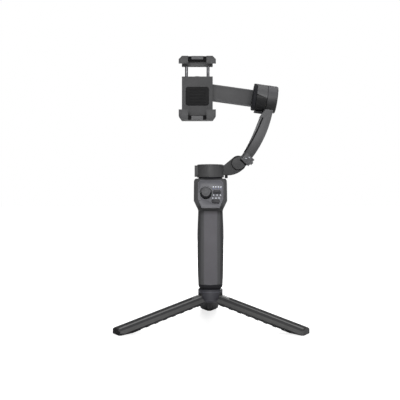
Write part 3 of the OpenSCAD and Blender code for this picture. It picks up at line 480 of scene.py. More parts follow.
def discPiece(name, radius, z0, z1, steps=96):
    deselectAll()
    bpy.ops.mesh.primitive_cylinder_add(vertices=steps, radius=radius * mm, depth=(z1 - z0) * mm,
                                        location=(0, 0, (z0 + z1) / 2 * mm))
    piece = startPiece(name)
    bpy.ops.object.transform_apply(location=True, rotation=False, scale=True)
    return piece


def changeShape(piece, kind, **settings):
    # adds a modifier and applies it
    change = piece.modifiers.new("change", kind)
    for key, value in settings.items():
        setattr(change, key, value)
    choose(piece)
    bpy.ops.object.modifier_apply(modifier=change.name)
    return piece


def cutAway(piece, *cutters, operation="DIFFERENCE"):
    for cutter in cutters:
        changeShape(piece, "BOOLEAN", operation=operation, solver="EXACT", object=cutter)
        bpy.data.objects.remove(cutter)
    return piece


def weldMesh(piece, threshold, angle):
    # joins points nearer than the threshold and dissolves what is flat within the angle
    editPiece(piece)
    selectAll()
    bpy.ops.mesh.remove_doubles(threshold=threshold)
    bpy.ops.mesh.dissolve_limited(angle_limit=math.radians(angle))
    bpy.ops.object.mode_set(mode="OBJECT")
    return piece


def roundEdges(piece, width, segments=3, angle=30, weld=True):
    # rounds the sharp edges; the new faces take the finish of slot 1, for most pieces a glossier, lighter copy
    # whose lighter colour paints a highlight along the edge
    if weld:
        weldMesh(piece, 0.000002, 0.4)
    return changeShape(piece, "BEVEL", width=width * mm, segments=segments, limit_method="ANGLE",
                       angle_limit=math.radians(angle), material=1, use_clamp_overlap=True)


def smooth(piece, angle=32):
    choose(piece)
    bpy.ops.object.shade_smooth_by_angle(angle=math.radians(angle))
    return piece


def setDown(piece, axes):
    # from the piece's own axes to the place it has in the whole
    piece.matrix_world = axes
    choose(piece)
    bpy.ops.object.transform_apply(location=True, rotation=True, scale=True)
    return piece


def coat(piece, *names):
    piece.data.materials.clear()
    for name in names:
        piece.data.materials.append(finish[name])
    return piece


def dress(piece, look, width, segments=3, angle=30, edgeLook=None):
    coat(piece, look, edgeLook or look + "Edge")
    return roundEdges(piece, width, segments, angle)


def paint(piece, look, test):
    # the faces whose middle and normal pass the test take another finish
    piece.data.materials.append(finish[look])
    editPiece(piece, "FACE")
    pickFaces(piece, test)
    piece.active_material_index = len(piece.data.materials) - 1
    bpy.ops.object.material_slot_assign()
    bpy.ops.object.mode_set(mode="OBJECT")
    return piece


def hand(piece, body, slotName, *nodes):
    # the piece rides on its body and stands for its CAD nodes
    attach(piece, body)
    if nodes:
        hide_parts(*nodes)
    return piece


def settle(piece, axes, body, slotName, *nodes, angle=35):
    # shaded smooth, put in its place and handed over
    return hand(smooth(setDown(piece, axes), angle), body, slotName, *nodes)


def copyNode(node, name):
    # a welded copy of a CAD node, to be rounded and finished
    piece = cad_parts[node].copy()
    piece.data = piece.data.copy()
    piece.parent = None
    piece.matrix_world = Matrix.Identity(4)
    for key in list(piece.keys()):
        del piece[key]
    bpy.context.scene.collection.objects.link(piece)
    choose(piece)
    return weldMesh(startPiece(name), 0.000004, 0.6)


def turned(x=0, y=0, z=0):
    return (Matrix.Rotation(math.radians(z), 4, "Z") @ Matrix.Rotation(math.radians(y), 4, "Y")
            @ Matrix.Rotation(math.radians(x), 4, "X"))


def moved(x, y, z):
    return Matrix.Translation(Vector((x, y, z)) * mm)


def bow(start, end, depth, steps):
    # points of a shallow arc that bows to the right of its way
    start, end = Vector(start), Vector(end)
    way = end - start
    side = Vector((way[1], -way[0])).normalized()
    return [tuple(start + way * (i / steps) + side * (4 * depth * (i / steps) * (1 - i / steps)))
            for i in range(steps + 1)]


def softRim(radius, top, soft, steps=6):
    # the rounded outer corner of a turned profile
    return arc((radius - soft, top - soft), soft, 0, 90, steps)


def ringGroove(outer, wide, deep, top):
    # a fine groove in the flat top of a profile
    return [(outer, top), (outer - deep, top - deep), (outer - wide + deep, top - deep), (outer - wide, top)]


def arc(centre, radius, start, end, steps):
    return [(centre[0] + radius * math.cos(math.radians(start + (end - start) * i / steps)),
             centre[1] + radius * math.sin(math.radians(start + (end - start) * i / steps)))
            for i in range(steps + 1)]


# the axes that the pieces are drawn in; the middle in y is read from the CAD model
axisY = sum(corner.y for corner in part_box("pan_housing")) / 2 / mm
places = {"hubZ": 30.5, "hubTop": 47.4, "gripZ": 54.0, "headZ": 147.5, "panZ": 191.3,
          "panelY": -18, "panelUp": 22, "panelLean": -10, "hingeX": 36, "hingeZ": 209.4,
          "tiltX": 73, "tiltZ": 293.5, "tiltSlope": 8, "rollX": -17, "rollZ": 306.148}
standAxes = moved(0, axisY, 0)
panelInHandle = moved(0, places["panelY"], places["headZ"] + places["panelUp"]) @ turned(x=places["panelLean"])
panelAxes = standAxes @ panelInHandle
panAxes = standAxes @ moved(0, 0, places["panZ"])
hingeAxes = standAxes @ moved(places["hingeX"], 0, places["hingeZ"])
tiltAxes = standAxes @ moved(places["tiltX"], 0, places["tiltZ"]) @ turned(y=places["tiltSlope"])
tiltMotorAxes = tiltAxes @ turned(y=-90)
rollAxes = standAxes @ moved(places["rollX"], 0, places["rollZ"])


# tripod: hub, three legs and their feet

hubShape = {"radius": 15.875, "footRadius": 12.875, "footCut": 3, "shoulder": 1.8, "slotHalf": 4.7,
            "slotFrom": 5.1, "slotTop": 41.8, "ringZ": 43.4, "ringDepth": 0.25, "edge": 0.5,
            "turns": (210, 330, 90)}  # left, right and rear leg


def makeHub(s):
    low, top, r, soft, ringZ = places["hubZ"], places["hubTop"], s["radius"], s["shoulder"], s["ringZ"]
    profile = [(0, low), (s["footRadius"], low), (r, low + s["footCut"]), (r, ringZ),
               (r - s["ringDepth"], ringZ + 0.2), (r - s["ringDepth"], ringZ + 0.5), (r, ringZ + 0.7)]
    profile += softRim(r, top, soft) + [(0, top)]
    hub = turnedPiece("tripodHub", profile, 120)
    for side in s["turns"]:
        slot = blockPiece("slot", (s["slotFrom"], -s["slotHalf"], low - 1), (r * 2, s["slotHalf"], s["slotTop"]))
        cutAway(hub, setDown(slot, turned(z=side)))
    dress(hub, "hub", s["edge"], angle=35)
    settle(hub, standAxes, "handle", "hub_plastic", "tripod_hub", angle=32)


makeHub(hubShape)

legShape = {"edge": 0.5, "edgeAngle": 28, "smoothAngle": 26, "slope": 15.1, "flat": 0.9999, "rim": (0.895, 0.945),
            "shade": (0.74, 0.895), "under": -0.5, "toeFrom": 121, "footTop": 0.74, "endFace": 0.5}


def makeLeg(side, turn, s):
    lie = (turned(z=turn) @ turned(y=s["slope"])).to_3x3()
    up, outward = lie @ Vector((0, 0, 1)), lie @ Vector((1, 0, 0))

    def onTop(middle, normal):
        # the flat top, its shaded shoulder and the soft edge at the toe
        level = normal.dot(up)
        atToe = (middle.xy - Vector((0, axisY * mm))).length > s["toeFrom"] * mm
        return level > s["flat"] or s["shade"][0] < level <= s["shade"][1] or atToe and level > s["rim"][1]

    leg = coat(copyNode("leg_" + side, "leg" + side.capitalize()), "leg", "legEdge")
    roundEdges(leg, s["edge"], 2, s["edgeAngle"], weld=False)
    paint(leg, "legShade", onTop)
    # painted shade: the underside faces take the dark finish
    paint(leg, "dark", lambda middle, normal: normal.dot(up) < s["under"])
    # painted highlight: the facets along the groove's rim take the light edge finish as a bright line
    paint(leg, "legEdge", lambda middle, normal: s["rim"][0] < normal.dot(up) < s["rim"][1])
    hand(smooth(leg, s["smoothAngle"]), "leg_" + side + "_body", "leg_plastic", "leg_" + side)
    foot = coat(copyNode("foot_" + side, "foot" + side.capitalize()), "foot", "foot")
    roundEdges(foot, s["edge"], 2, s["edgeAngle"], weld=False)
    paint(foot, "legShade", lambda middle, normal: normal.dot(up) > s["footTop"])
    # painted shade: the end faces of the left and rear feet take the dark pad rubber
    if side != "right":  # the right foot catches the light at its end
        paint(foot, "rubber", lambda middle, normal: normal.dot(outward) > s["endFace"])
    hand(smooth(foot, s["smoothAngle"]), "leg_" + side + "_body", "pad_rubber", "foot_" + side)


for side, turn in zip(("left", "right", "rear"), hubShape["turns"]):
    makeLeg(side, turn, legShape)
print("tripod made")


# handle: one rounded form pulled up level by level, then parted along its side seam

gripShape = {"width": 34, "depth": 35, "corner": 9, "cornerSteps": 9, "length": 93.5,
             "shares": [(0, 0.92), (0.13, 0.955), (0.34, 0.985), (0.55, 1), (0.74, 0.985), (0.88, 0.955),
                        (1, 0.93)],
             "frontFlat": 0.08, "levels": 26, "edge": 0.45}
headShape = {"levels": [  # height over the neck, width, front, back
    (1.2, 31.9, -18.6, 16.9), (3.5, 33.5, -21.2, 17.5), (6.6, 36.6, -20.7, 17.9), (10, 39.8, -20.1, 18.2),
    (13.4, 43, -19.5, 18.5), (20, 43, -18.35, 18.5), (27, 42.9, -17.1, 18.5), (33, 42.8, -16.05, 18.5),
    (38.5, 42.6, -15.1, 18.5), (40.1, 41.9, -14.6, 18.1), (41.4, 40.3, -13.6, 17.2), (42, 38.3, -12.4, 16.2),
    (42.2, 36.8, -11.4, 15.4)]}
stripShape = {"width": 17.6, "front": -18.0, "back": -16.5, "low": 53.4, "edge": 0.5, "vee": 0.7, "tuck": 0.6,
              "play": 0.05}
openings = {"panelSink": 1.0, "panelPlay": 0.08, "wellDepth": 9, "stickRadius": 8.1, "buttonPlay": 0.15,
            "screwRadius": 2.3, "screwFloor": 14.31, "screws": ((-11, 60), (-11, 139.5), (11, 60), (11, 139.5)),
            "usb": (9, 3.2), "usbY": (11.5, 24), "usbUp": 12, "partingGap": 0.06}
panelShape = {"size": (32, 35.5), "thickness": 1.6, "proud": 0.6, "edge": 0.35,
              "shares": [(0.35, -0.5), (0.375, -0.44), (0.5, -0.175), (0.5, 0.42), (0.41, 0.5)]}
controls = {"stickPlace": (-6, 1.5), "recordPlace": (8.2, 2.7), "recordSize": (10, 4.8), "recordCorner": 1.2,
            "modePlace": (6.5, -9.7), "modeSize": (10.6, 5.4),
            "modeShares": [(0.36, -0.5), (0.47, -0.34), (0.5, -0.1), (0.5, 0.3), (0.42, 0.5)]}


def gripShare(t):
    # share of the full width at a height of 0 to 1 along the grip
    shares = gripShape["shares"]
    for (t0, s0), (t1, s1) in zip(shares, shares[1:]):
        if t <= t1:
            return s0 + (s1 - s0) * (t - t0) / (t1 - t0)
    return shares[-1][1]


def gripLevel(z, share):
    depth = gripShape["depth"]
    front = -depth / 2 + (1 - min(1, share + gripShape["frontFlat"])) * depth / 2
    return (z, gripShape["width"] * share, front, depth / 2 * share)


def pulledForm(name, levels, corner, cornerSteps):
    # a plate with round corners, pulled up through levels of height, width, front and back
    z, width, front, back = levels[0]
    deselectAll()
    bpy.ops.mesh.primitive_plane_add(size=1, location=(0, (front + back) / 2 * mm, z * mm))
    form = startPiece(name)
    form.scale = (width * mm, (back - front) * mm, 1)
    bpy.ops.object.transform_apply(location=True, rotation=False, scale=True)
    editPiece(form)
    selectAll()
    bpy.ops.mesh.bevel(offset=corner * mm, segments=cornerSteps, affect="VERTICES")
    selectAll()
    for before, after in zip(levels, levels[1:]):
        middleBefore, middle = (before[2] + before[3]) / 2, (after[2] + after[3]) / 2
        stepTo((0, (middle - middleBefore) * mm, (after[0] - before[0]) * mm))
        bpy.ops.transform.resize(
            value=(after[1] / before[1], (after[3] - after[2]) / (before[3] - before[2]), 1),
            center_override=(0, middle * mm, after[0] * mm))
    return closeMesh(form)


def mirroredOutline(shares, size, grow=0.0):
    # right half from shares of a size, grown outwards by a play, and the left half like it
    half = [(x * size[0] + grow, z * size[1] + math.copysign(grow, z) * (abs(z) > 0.45)) for x, z in shares]
    return half + [(-x, z) for x, z in reversed(half)]


def roundedBox(width, height, radius, steps=5):
    points = []
    for cornerX, cornerZ, start in ((1, 1, 0), (-1, 1, 90), (-1, -1, 180), (1, -1, 270)):
        corner = (cornerX * (width / 2 - radius), cornerZ * (height / 2 - radius))
        points += arc(corner, radius, start, start + 90, steps)
    return points


def shifted(outline, by):
    return [(x + by[0], z + by[1]) for x, z in outline]


def controlWells(depth):
    # cutters for the joystick and the two buttons, from before the panel to a depth
    play, (width, height) = openings["buttonPlay"], controls["recordSize"]
    outlines = {"stickPlace": arc((0, 0), openings["stickRadius"], 0, 352.5, 47),
                "recordPlace": roundedBox(width + 2 * play, height + 2 * play, controls["recordCorner"] + play),
                "modePlace": mirroredOutline(controls["modeShares"], controls["modeSize"], play)}
    return [slabPiece("well", shifted(outline, controls[place]), -3, depth) for place, outline in outlines.items()]


def makeCasing():
    levels = [gripLevel(places["gripZ"] + gripShape["length"] * i / gripShape["levels"],
                        gripShare(i / gripShape["levels"])) for i in range(gripShape["levels"] + 1)]
    levels += [(places["headZ"] + up, width, front, back) for up, width, front, back in headShape["levels"]]
    casing = pulledForm("handleCasing", levels, gripShape["corner"], gripShape["cornerSteps"])
    outline = mirroredOutline(panelShape["shares"], panelShape["size"], openings["panelPlay"])
    recess = slabPiece("recess", outline, -6, openings["panelSink"])
    for cutter in [recess] + controlWells(openings["wellDepth"]):
        cutAway(casing, setDown(cutter, panelInHandle))
    stripHalf, stripFloor = stripShape["width"] / 2 + stripShape["play"], stripShape["back"] + stripShape["play"]
    cutAway(casing, blockPiece("stripRecess", (-stripHalf, -22, 40),
                               (stripHalf, stripFloor, places["headZ"] + stripShape["tuck"])))
    usbWidth, usbHeight = openings["usb"]
    usb = slabPiece("usbHole", roundedBox(usbWidth, usbHeight, usbHeight / 2 - 0.05), *openings["usbY"])
    cutAway(casing, setDown(usb, moved(0, 0, places["headZ"] + openings["usbUp"])))
    for x, z in openings["screws"]:
        hole = discPiece("screwHole", openings["screwRadius"], 0, 12, 40)
        cutAway(casing, setDown(hole, moved(x, openings["screwFloor"], z) @ turned(x=-90)))
    return casing


def makeShell(whole, name, isRear):
    # one half of the casing, cut a hair off the middle plane so that the side seam shows
    gap = openings["partingGap"] * mm * (1 if isRear else -1)
    half = splitAt(duplicated(whole, name), (0, gap, 0), (0, 1, 0), isRear)
    dress(half, "casing", gripShape["edge"], angle=33)
    return smooth(setDown(half, standAxes), 33)


casing = makeCasing()
hand(makeShell(casing, "handleFront", False), "handle", "casing_plastic", "handle_front_shell")
hand(makeShell(casing, "handleRear", True), "handle", "casing_plastic", "handle_rear_shell")
bpy.data.objects.remove(casing)


def makeStrip(s):
    half, low, top = s["width"] / 2, s["low"], places["headZ"] + s["tuck"]
    strip = slabPiece("gripStrip", [(-half, low + s["vee"]), (0, low), (half, low + s["vee"]),
                                    (half, top), (-half, top)], s["front"], s["back"])
    dress(strip, "strip", s["edge"], 4, edgeLook="casingEdge")
    settle(strip, standAxes, "handle", "strip_plastic", "grip_strip", angle=40)


makeStrip(stripShape)

capShape = {"height": 5.6, "shares": [(0, 0.77), (0.12, 0.82), (0.4, 0.885), (0.75, 0.915), (0.96, 0.92)],
            "corner": 7.2, "bore": 3.3, "edge": 0.3}


def makeBottomCap(s):
    foot = places["hubTop"] + 1
    levels = [gripLevel(foot + t * s["height"], share) for t, share in s["shares"]]
    cap = pulledForm("bottomCap", levels, s["corner"], gripShape["cornerSteps"])
    cutAway(cap, discPiece("bore", s["bore"], foot - 1, foot + 20, 48))
    dress(cap, "dark", s["edge"], angle=40)
    settle(cap, standAxes, "handle", "hub_plastic", "bottom_cap", angle=33)


makeBottomCap(capShape)

screwShape = {"headRadius": 2.25, "headHeight": 1.5, "socket": 1.2, "socketDepth": 0.9, "edge": 0.25}


def makeScrews(s):
    head = discPiece("casingScrew", s["headRadius"], 0, s["headHeight"], 48)
    socket = discPiece("socket", s["socket"], s["headHeight"] - s["socketDepth"], 4, 6)
    cutAway(head, socket)
    dress(head, "steel", s["edge"], edgeLook="steel")
    smooth(head, 30)
    for i, (x, z) in enumerate(openings["screws"]):
        screw = duplicated(head, "casingScrew" + str(i + 1))
        setDown(screw, standAxes @ moved(x, openings["screwFloor"], z) @ turned(x=-90))
        hand(screw, "handle", "steel", "handle_screws")
    bpy.data.objects.remove(head)


makeScrews(screwShape)
print("handle made")


def makePanel(s):
    sink = s["thickness"] - s["proud"]
    panel = slabPiece("controlPanel", mirroredOutline(s["shares"], s["size"]), -s["proud"], sink)
    cutAway(panel, *controlWells(3))
    dress(panel, "panel", s["edge"], angle=25)
    settle(panel, panelAxes, "handle", "panel_plastic", "control_panel")


makePanel(panelShape)

buttonShape = {"rise": 1.2, "skirt": 1.0, "stem": 1.5, "stemEnd": 6.5, "sink": 0.4, "edge": 0.55, "dish": 0.35,
               "dishIn": 0.9}


def makeButton(key, outline, s):
    front, place = -panelShape["proud"] - s["rise"], controls[key + "Place"]
    button = slabPiece(key + "Button", shifted(outline, place), front, s["skirt"])
    editPiece(button, "FACE")
    pickFaces(button, lambda middle, normal: normal.y < -0.9 and middle.y < (front + 0.1) * mm)
    bpy.ops.mesh.inset(thickness=s["dishIn"] * mm)
    bpy.ops.transform.translate(value=(0, s["dish"] * mm, 0))
    bpy.ops.object.mode_set(mode="OBJECT")
    dress(button, "button", s["edge"])
    stem = discPiece("stem", s["stem"], 0, s["stemEnd"] - s["skirt"] + s["sink"], 24)
    setDown(stem, moved(place[0], s["skirt"] - s["sink"], place[1]) @ turned(x=-90))
    cutAway(button, stem, operation="UNION")
    settle(button, panelAxes, key + "_key", "panel_plastic", key + "_button")


makeButton("record", roundedBox(*controls["recordSize"], controls["recordCorner"]), buttonShape)
makeButton("mode", mirroredOutline(controls["modeShares"], controls["modeSize"]), buttonShape)

stickShape = {"base": -3.4, "stemRadius": 1.3, "stemEnd": 4.8,
              "profile": [(1.3, 0), (6.7, 0), (7.2, 0.25), (7.3, 0.7), (7.05, 1.15), (5.35, 2.35), (4.85, 2.58),
                          (4.2, 2.6), (3.6, 2.42), (2.4, 2.05), (1.1, 1.92), (0, 1.9)],
              "ribs": 16, "ribRadius": 0.42, "ribsOut": 7.25, "edge": 0.12, "shadeFrom": 4.9, "shadeTop": 2.4,
              "shadeUnder": -0.5}


def makeStick(s):
    end, out = s["base"] - s["stemEnd"], s["ribsOut"]
    cap = turnedPiece("joystickCap", [(0, end), (s["stemRadius"], end)] + s["profile"], 96)
    for i in range(s["ribs"]):
        notch = discPiece("notch", s["ribRadius"], -1, 4, 12)
        angle = math.radians(360 / s["ribs"] * i)
        cutAway(cap, setDown(notch, moved(out * math.cos(angle), out * math.sin(angle), 0)))
    dress(cap, "stick", s["edge"], 2, 45)
    # painted shade: the lower outer faces of the cap take the dark finish
    paint(cap, "dark", lambda middle, normal: middle.xy.length > s["shadeFrom"] * mm
          and middle.z < s["shadeTop"] * mm and middle.y < s["shadeUnder"] * mm)
    x, z = controls["stickPlace"]
    setDown(cap, panelAxes @ moved(x, s["base"], z) @ turned(x=90))
    hand(smooth(cap, 35), "stick", "stick_plastic", "joystick_cap")


makeStick(stickShape)

lightShape = {"markSize": (1.7, 1.2), "markFrom": (3.5, 9.2), "pitch": 3.25, "dotRadius": 0.45, "dotDrop": 2.3,
              "modes": [(3.9, -1.35), (8.3, -1.35), (12.7, -1.35), (2.7, -5.2), (6.8, -5.2), (10.8, -5.2)],
              "modeSize": (1.5, 1.1), "front": -0.66, "back": -0.3, "edge": 0.08, "lineSize": (4.6, 0.3),
              "linePlace": (-0.2, 9.4), "holeRadius": 0.6, "holePlace": (-13.6, -8.6)}


def makeMark(name, outline, place, look, *nodes):
    mark = slabPiece(name, shifted(outline, place), lightShape["front"], lightShape["back"])
    dress(mark, look, lightShape["edge"], 2, 40, edgeLook=look)
    settle(mark, panelAxes, "handle", "light_plastic", *nodes, angle=40)


def makeLights(s):
    bar, lamp = roundedBox(*s["markSize"], 0.3, 3), roundedBox(*s["modeSize"], 0.4, 3)
    dot, hole = arc((0, 0), s["dotRadius"], 0, 337.5, 15), arc((0, 0), s["holeRadius"], 0, 345, 23)
    fromX, z = s["markFrom"]
    for i in range(4):
        x = fromX + i * s["pitch"]
        makeMark("levelLight" + str(i + 1), bar, (x, z), "light", "panel_lights")
        makeMark("levelDot" + str(i + 1), dot, (x, z - s["dotDrop"]), "lightBlue", "panel_lights")
    for i, place in enumerate(s["modes"]):
        makeMark("modeLight" + str(i + 1), lamp, place, "light", "panel_lights")
    makeMark("printedLine", roundedBox(*s["lineSize"], 0.1, 2), s["linePlace"], "panelEdge")
    # painted shade: the sound hole is a dark disc on the panel
    makeMark("soundHole", hole, s["holePlace"], "gap")


makeLights(lightShape)
print("controls made")


# pan motor: housing, lid and side cover

panShape = {"radius": 17.5, "room": 14.3, "wall": 1.4, "soft": 0.7, "lidHeight": 2.2, "lidSoft": 0.9,
            "lidGroove": (13.2, 0.7, 0.2), "coverOut": 20.5, "coverIn": 10, "coverHeight": 14.4, "coverWidth": 14,
            "coverRadius": 2, "coverPlay": 0.05, "coverZ": 8.2, "edge": 0.7}


def makePanMotor(s):
    r, room, inner, soft = s["radius"], s["room"], s["radius"] - s["wall"], s["soft"]
    housing = turnedPiece("panHousing", [(inner, 0), (r - soft, 0)] + arc((r - soft, soft), soft, -90, 0, 5)
                          + [(r, room - 0.25), (r - 0.2, room - 0.04), (inner, room - 0.04), (inner, 0)])
    coat(housing, "motor")
    settle(housing, panAxes, "pan_turret", "casing_plastic", "pan_housing")
    top, soft = s["lidHeight"], s["lidSoft"]
    lid = turnedPiece("panLid", [(0, 0), (r - 0.2, 0), (r, 0.2), (r, top - soft)]
                      + softRim(r, top, soft) + ringGroove(*s["lidGroove"], top) + [(0, top)])
    coat(lid, "motor")
    settle(lid, panAxes @ moved(0, 0, room), "pan_turret", "casing_plastic", "pan_lid")
    cover = slabPiece("panSideCover", roundedBox(s["coverWidth"], s["coverHeight"], s["coverRadius"], 6),
                      -s["coverOut"], -s["coverIn"])
    setDown(cover, moved(0, 0, s["coverZ"]) @ turned(z=-90))
    cutAway(cover, discPiece("drum", r + s["coverPlay"], -1, 20, 128))
    dress(cover, "motor", s["edge"], 4, 40)
    settle(cover, panAxes, "pan_turret", "casing_plastic", "pan_side_cover")


makePanMotor(panShape)

linkShape = {"half": 5.5, "root": ((-27, -15.1), (-18.5, -2.4)), "bowFrom": -17.5, "bow": 2.6, "knuckle": 10,
             "knuckleArc": (-48.2, 117.8), "foot": (5.7, -8.2), "heel": (-5.7, 8.2),
             "play": 0.02, "edge": 2.2, "tabLow": (18.7, -2.5, -1), "tabHigh": (22.5, 2.5, 4.2), "tabEdge": 0.6,
             "ring": (8.25, 9.0), "ringDepth": 0.45, "ringTall": 2}


def makeLink(s):
    half, (inner, outer) = s["half"], s["ring"]
    upX, upZ = places["hingeX"], places["hingeZ"] - places["panZ"]
    (inX, lowZ), (bendX, topZ) = s["root"]
    outline = [(inX, lowZ)] + bow((s["bowFrom"], lowZ), s["foot"], s["bow"], 10) \
        + arc((0, 0), s["knuckle"], *s["knuckleArc"], 22) + [s["heel"], (bendX, topZ), (inX, topZ)]
    link = slabPiece("lowerLink", outline, -half, half)
    setDown(link, moved(upX, 0, upZ))
    cutAway(link, discPiece("drum", panShape["radius"] + s["play"], -3, 20, 128))
    dress(link, "link", s["edge"], 6, 38)
    depth, tall = half - s["ringDepth"], s["ringTall"]
    for y in (-depth - tall, depth):
        ring = turnedPiece("ring", [(inner, 0), (outer, 0), (outer, tall), (inner, tall), (inner, 0)], 96)
        cutAway(link, setDown(ring, moved(upX, y, upZ) @ turned(x=-90)))
    hinge = Vector((upX, 0, upZ)) * mm
    # painted shade: the faces of the ring groove round the hinge take the dark gap finish
    paint(link, "gap", lambda middle, normal: half - 1 < abs(middle.y) / mm < half - 0.05
          and inner - 0.1 < ((middle - hinge) / mm).xz.length < outer + 0.1)
    settle(link, panAxes, "pan_turret", "casing_plastic", "lower_link")
    tab = dress(blockPiece("stopTab", s["tabLow"], s["tabHigh"]), "dark", s["tabEdge"])
    settle(tab, panAxes, "pan_turret", "casing_plastic", "lower_link", angle=32)


makeLink(linkShape)
print("pan motor and link made")


# upper arm: crowned bar with a cover behind, fork at the hinge, and the lock slider on it

armShape = {"half": 9.5, "crown": 1.2, "crownSteps": 4, "grooveIn": 1.7, "grooveWidth": 1.9,
            "grooveUp": 3, "grooveFloor": 1.1, "footOut": (18, 7.3), "headOut": (44, 65.4), "cupOut": (47.1, 75.3),
            "cupIn": (38, 75.3), "headIn": (28.6, 61.7), "footIn": (5, 10.4), "bowOut": 3.6, "bowIn": -1.5,
            "clear": 14.5, "gap": 5.8, "disc": 8.1, "drum": 18.1, "edge": 0.3, "coverFrom": 7.5, "coverPlay": 0.08,
            "coverIn": 2.8, "coverUp": 5.5, "coverEdge": 0.35}
forkShape = {"outline": [(5, 10.4), (18, 7.3), (16.9, 0.4), (11.6, -2), (5, -6)], "edge": 0.55,
             "slot": ((4, -12, -15.7), (17.7, -7.1, 1.7)), "slotFloor": (-7.3, -7.05)}
sliderShape = {"in": 6.2, "out": 17.5, "low": -11.7, "high": 1.5, "front": -10.3, "back": -7.3, "edge": 0.6,
               "ridges": 3, "ridgeFrom": 1.5, "ridgeStep": 1.4, "ridgeWide": 0.55, "tab": (4, 1.6),
               "markDeep": 0.3, "markEdge": 0.06,
               "marks": [(11.0, -2.3, 0.5, 1.3), (11.5, -3.4, 1.2, 0.45), (14.9, -4.4, 1.5, 0.45),
                         (15.4, -5.4, 0.45, 1.2)]}


def armOutline():
    s = armShape
    return bow(s["footOut"], s["headOut"], s["bowOut"], 16) + [s["cupOut"], s["cupIn"]] \
        + bow(s["headIn"], s["footIn"], s["bowIn"], 14)


def coverOutline(shrink=0.0):
    # the recess in the arm's rear, or its cover where it shrinks by its play
    s = armShape
    inset, up = s["coverIn"] + shrink, s["coverUp"] + shrink
    footOut, headOut, headIn, footIn = [(s[corner][0] + x, s[corner][1] + z) for corner, x, z in (
        ("footOut", -inset, up), ("headOut", -inset, -shrink),
        ("headIn", inset, -1 - shrink), ("footIn", inset, up))]
    return bow(footOut, headOut, s["bowOut"], 14) + bow(headIn, footIn, s["bowIn"], 14)


def grooveOutline(grow=0.0):
    # the narrow groove that runs along the arm's inner edge
    s = armShape
    near, far = s["grooveIn"] - grow, s["grooveIn"] + s["grooveWidth"] + grow
    (headX, headZ), (footX, footZ) = s["headIn"], s["footIn"]
    head, foot = headZ - s["grooveUp"] + grow, footZ + s["grooveUp"] - grow
    return bow((headX + near, head), (footX + near, foot), s["bowIn"], 14) \
        + bow((footX + far, foot), (headX + far, head), -s["bowIn"], 14)


def inGroove(x, z):
    # an odd number of the groove's sides lies to the right of a point within it
    outline = grooveOutline(0.05)
    sides = zip(outline, outline[1:] + outline[:1])
    return sum(x0 + (z - z0) * (x1 - x0) / (z1 - z0) > x for (x0, z0), (x1, z1) in sides
               if (z0 > z) != (z1 > z)) % 2 == 1


def makeArm(s):
    half, floor = s["half"], s["grooveFloor"] - s["half"]
    arm = slabPiece("upperArm", armOutline(), -half, half)
    dress(arm, "arm", s["crown"], s["crownSteps"], 60)
    cutAway(arm, slabPiece("groove", grooveOutline(), -half - 2, floor))
    cutAway(arm, setDown(discPiece("clearance", s["clear"], -s["gap"], s["gap"], 96), turned(x=-90)))
    tiltInHinge = moved(places["tiltX"] - places["hingeX"], 0, places["tiltZ"] - places["hingeZ"])
    drum = discPiece("drum", s["drum"], -60, 0, 96)
    cutAway(arm, setDown(drum, tiltInHinge @ turned(y=places["tiltSlope"]) @ turned(y=90)))
    cutAway(arm, slabPiece("recess", coverOutline(), s["coverFrom"], half + 2))
    roundEdges(arm, s["edge"], 2, 50)
    # painted shade: the groove's floor and walls take the dark gap finish
    paint(arm, "gap", lambda middle, normal: -half + 0.5 < middle.y / mm < floor + 0.02
          and (normal.y < -0.99 or abs(normal.y) < 0.3) and inGroove(middle.x / mm, middle.z / mm))
    settle(arm, hingeAxes, "folding_arm", "casing_plastic", "upper_arm")
    cover = dress(slabPiece("armCover", coverOutline(s["coverPlay"]), s["coverFrom"], half), "arm", s["coverEdge"])
    settle(cover, hingeAxes, "folding_arm", "casing_plastic", "upper_arm_cover")


def makeFork(s):
    near, far = armShape["gap"], armShape["half"]
    slotLow, slotHigh = s["slotFloor"]
    for name, y0, y1 in (("forkFront", -far, -near), ("forkBack", near, far)):
        cheek = slabPiece(name, s["outline"] + arc((0, 0), armShape["disc"], -45, -225, 30), y0, y1)
        if y0 < 0:
            cutAway(cheek, setDown(blockPiece("slot", *s["slot"]), turned(y=-45)))
        dress(cheek, "fork", s["edge"], angle=35)
        # painted shade: the slot floor takes the dark gap finish
        paint(cheek, "gap", lambda middle, normal: slotLow < middle.y / mm < slotHigh and normal.y < -0.9)
        settle(cheek, hingeAxes, "folding_arm", "casing_plastic", "upper_arm")


def makeSlider(s):
    near, far, low, high, front, back = (s[key] for key in ("in", "out", "low", "high", "front", "back"))
    slider = blockPiece("lockSlider", (near, front, low), (far, back, high))
    for i in range(s["ridges"]):
        z = low + s["ridgeFrom"] + i * s["ridgeStep"]
        cutAway(slider, blockPiece("groove", (near - 1, front - 1, z), (far + 1, front + 0.3, z + s["ridgeWide"])))
    middle, (wide, tall) = (near + far) / 2, s["tab"]
    tab = blockPiece("tab", (middle - wide / 2, front + 0.5, low - tall), (middle + wide / 2, back - 0.2, low + 1))
    cutAway(slider, tab, operation="UNION")
    dress(slider, "slider", s["edge"], angle=40)
    sliderAxes = hingeAxes @ turned(y=-45)
    settle(slider, sliderAxes, "lock", "slider_plastic", "lock_slider")
    for i, (x, z, width, height) in enumerate(s["marks"]):
        mark = slabPiece("sliderMark" + str(i + 1), shifted(roundedBox(width, height, 0.25, 3), (x, z)),
                         front - s["markEdge"], front + s["markDeep"])
        # painted light: the printed marks glow in the white print finish
        dress(mark, "light", s["markEdge"], 2, 40, edgeLook="light")
        settle(mark, sliderAxes, "lock", "slider_plastic", angle=40)


makeArm(armShape)
makeFork(forkShape)
makeSlider(sliderShape)
print("arm made")


# tilt motor: outer cup with its cap, two shells parted by a slanting seam, and the stop

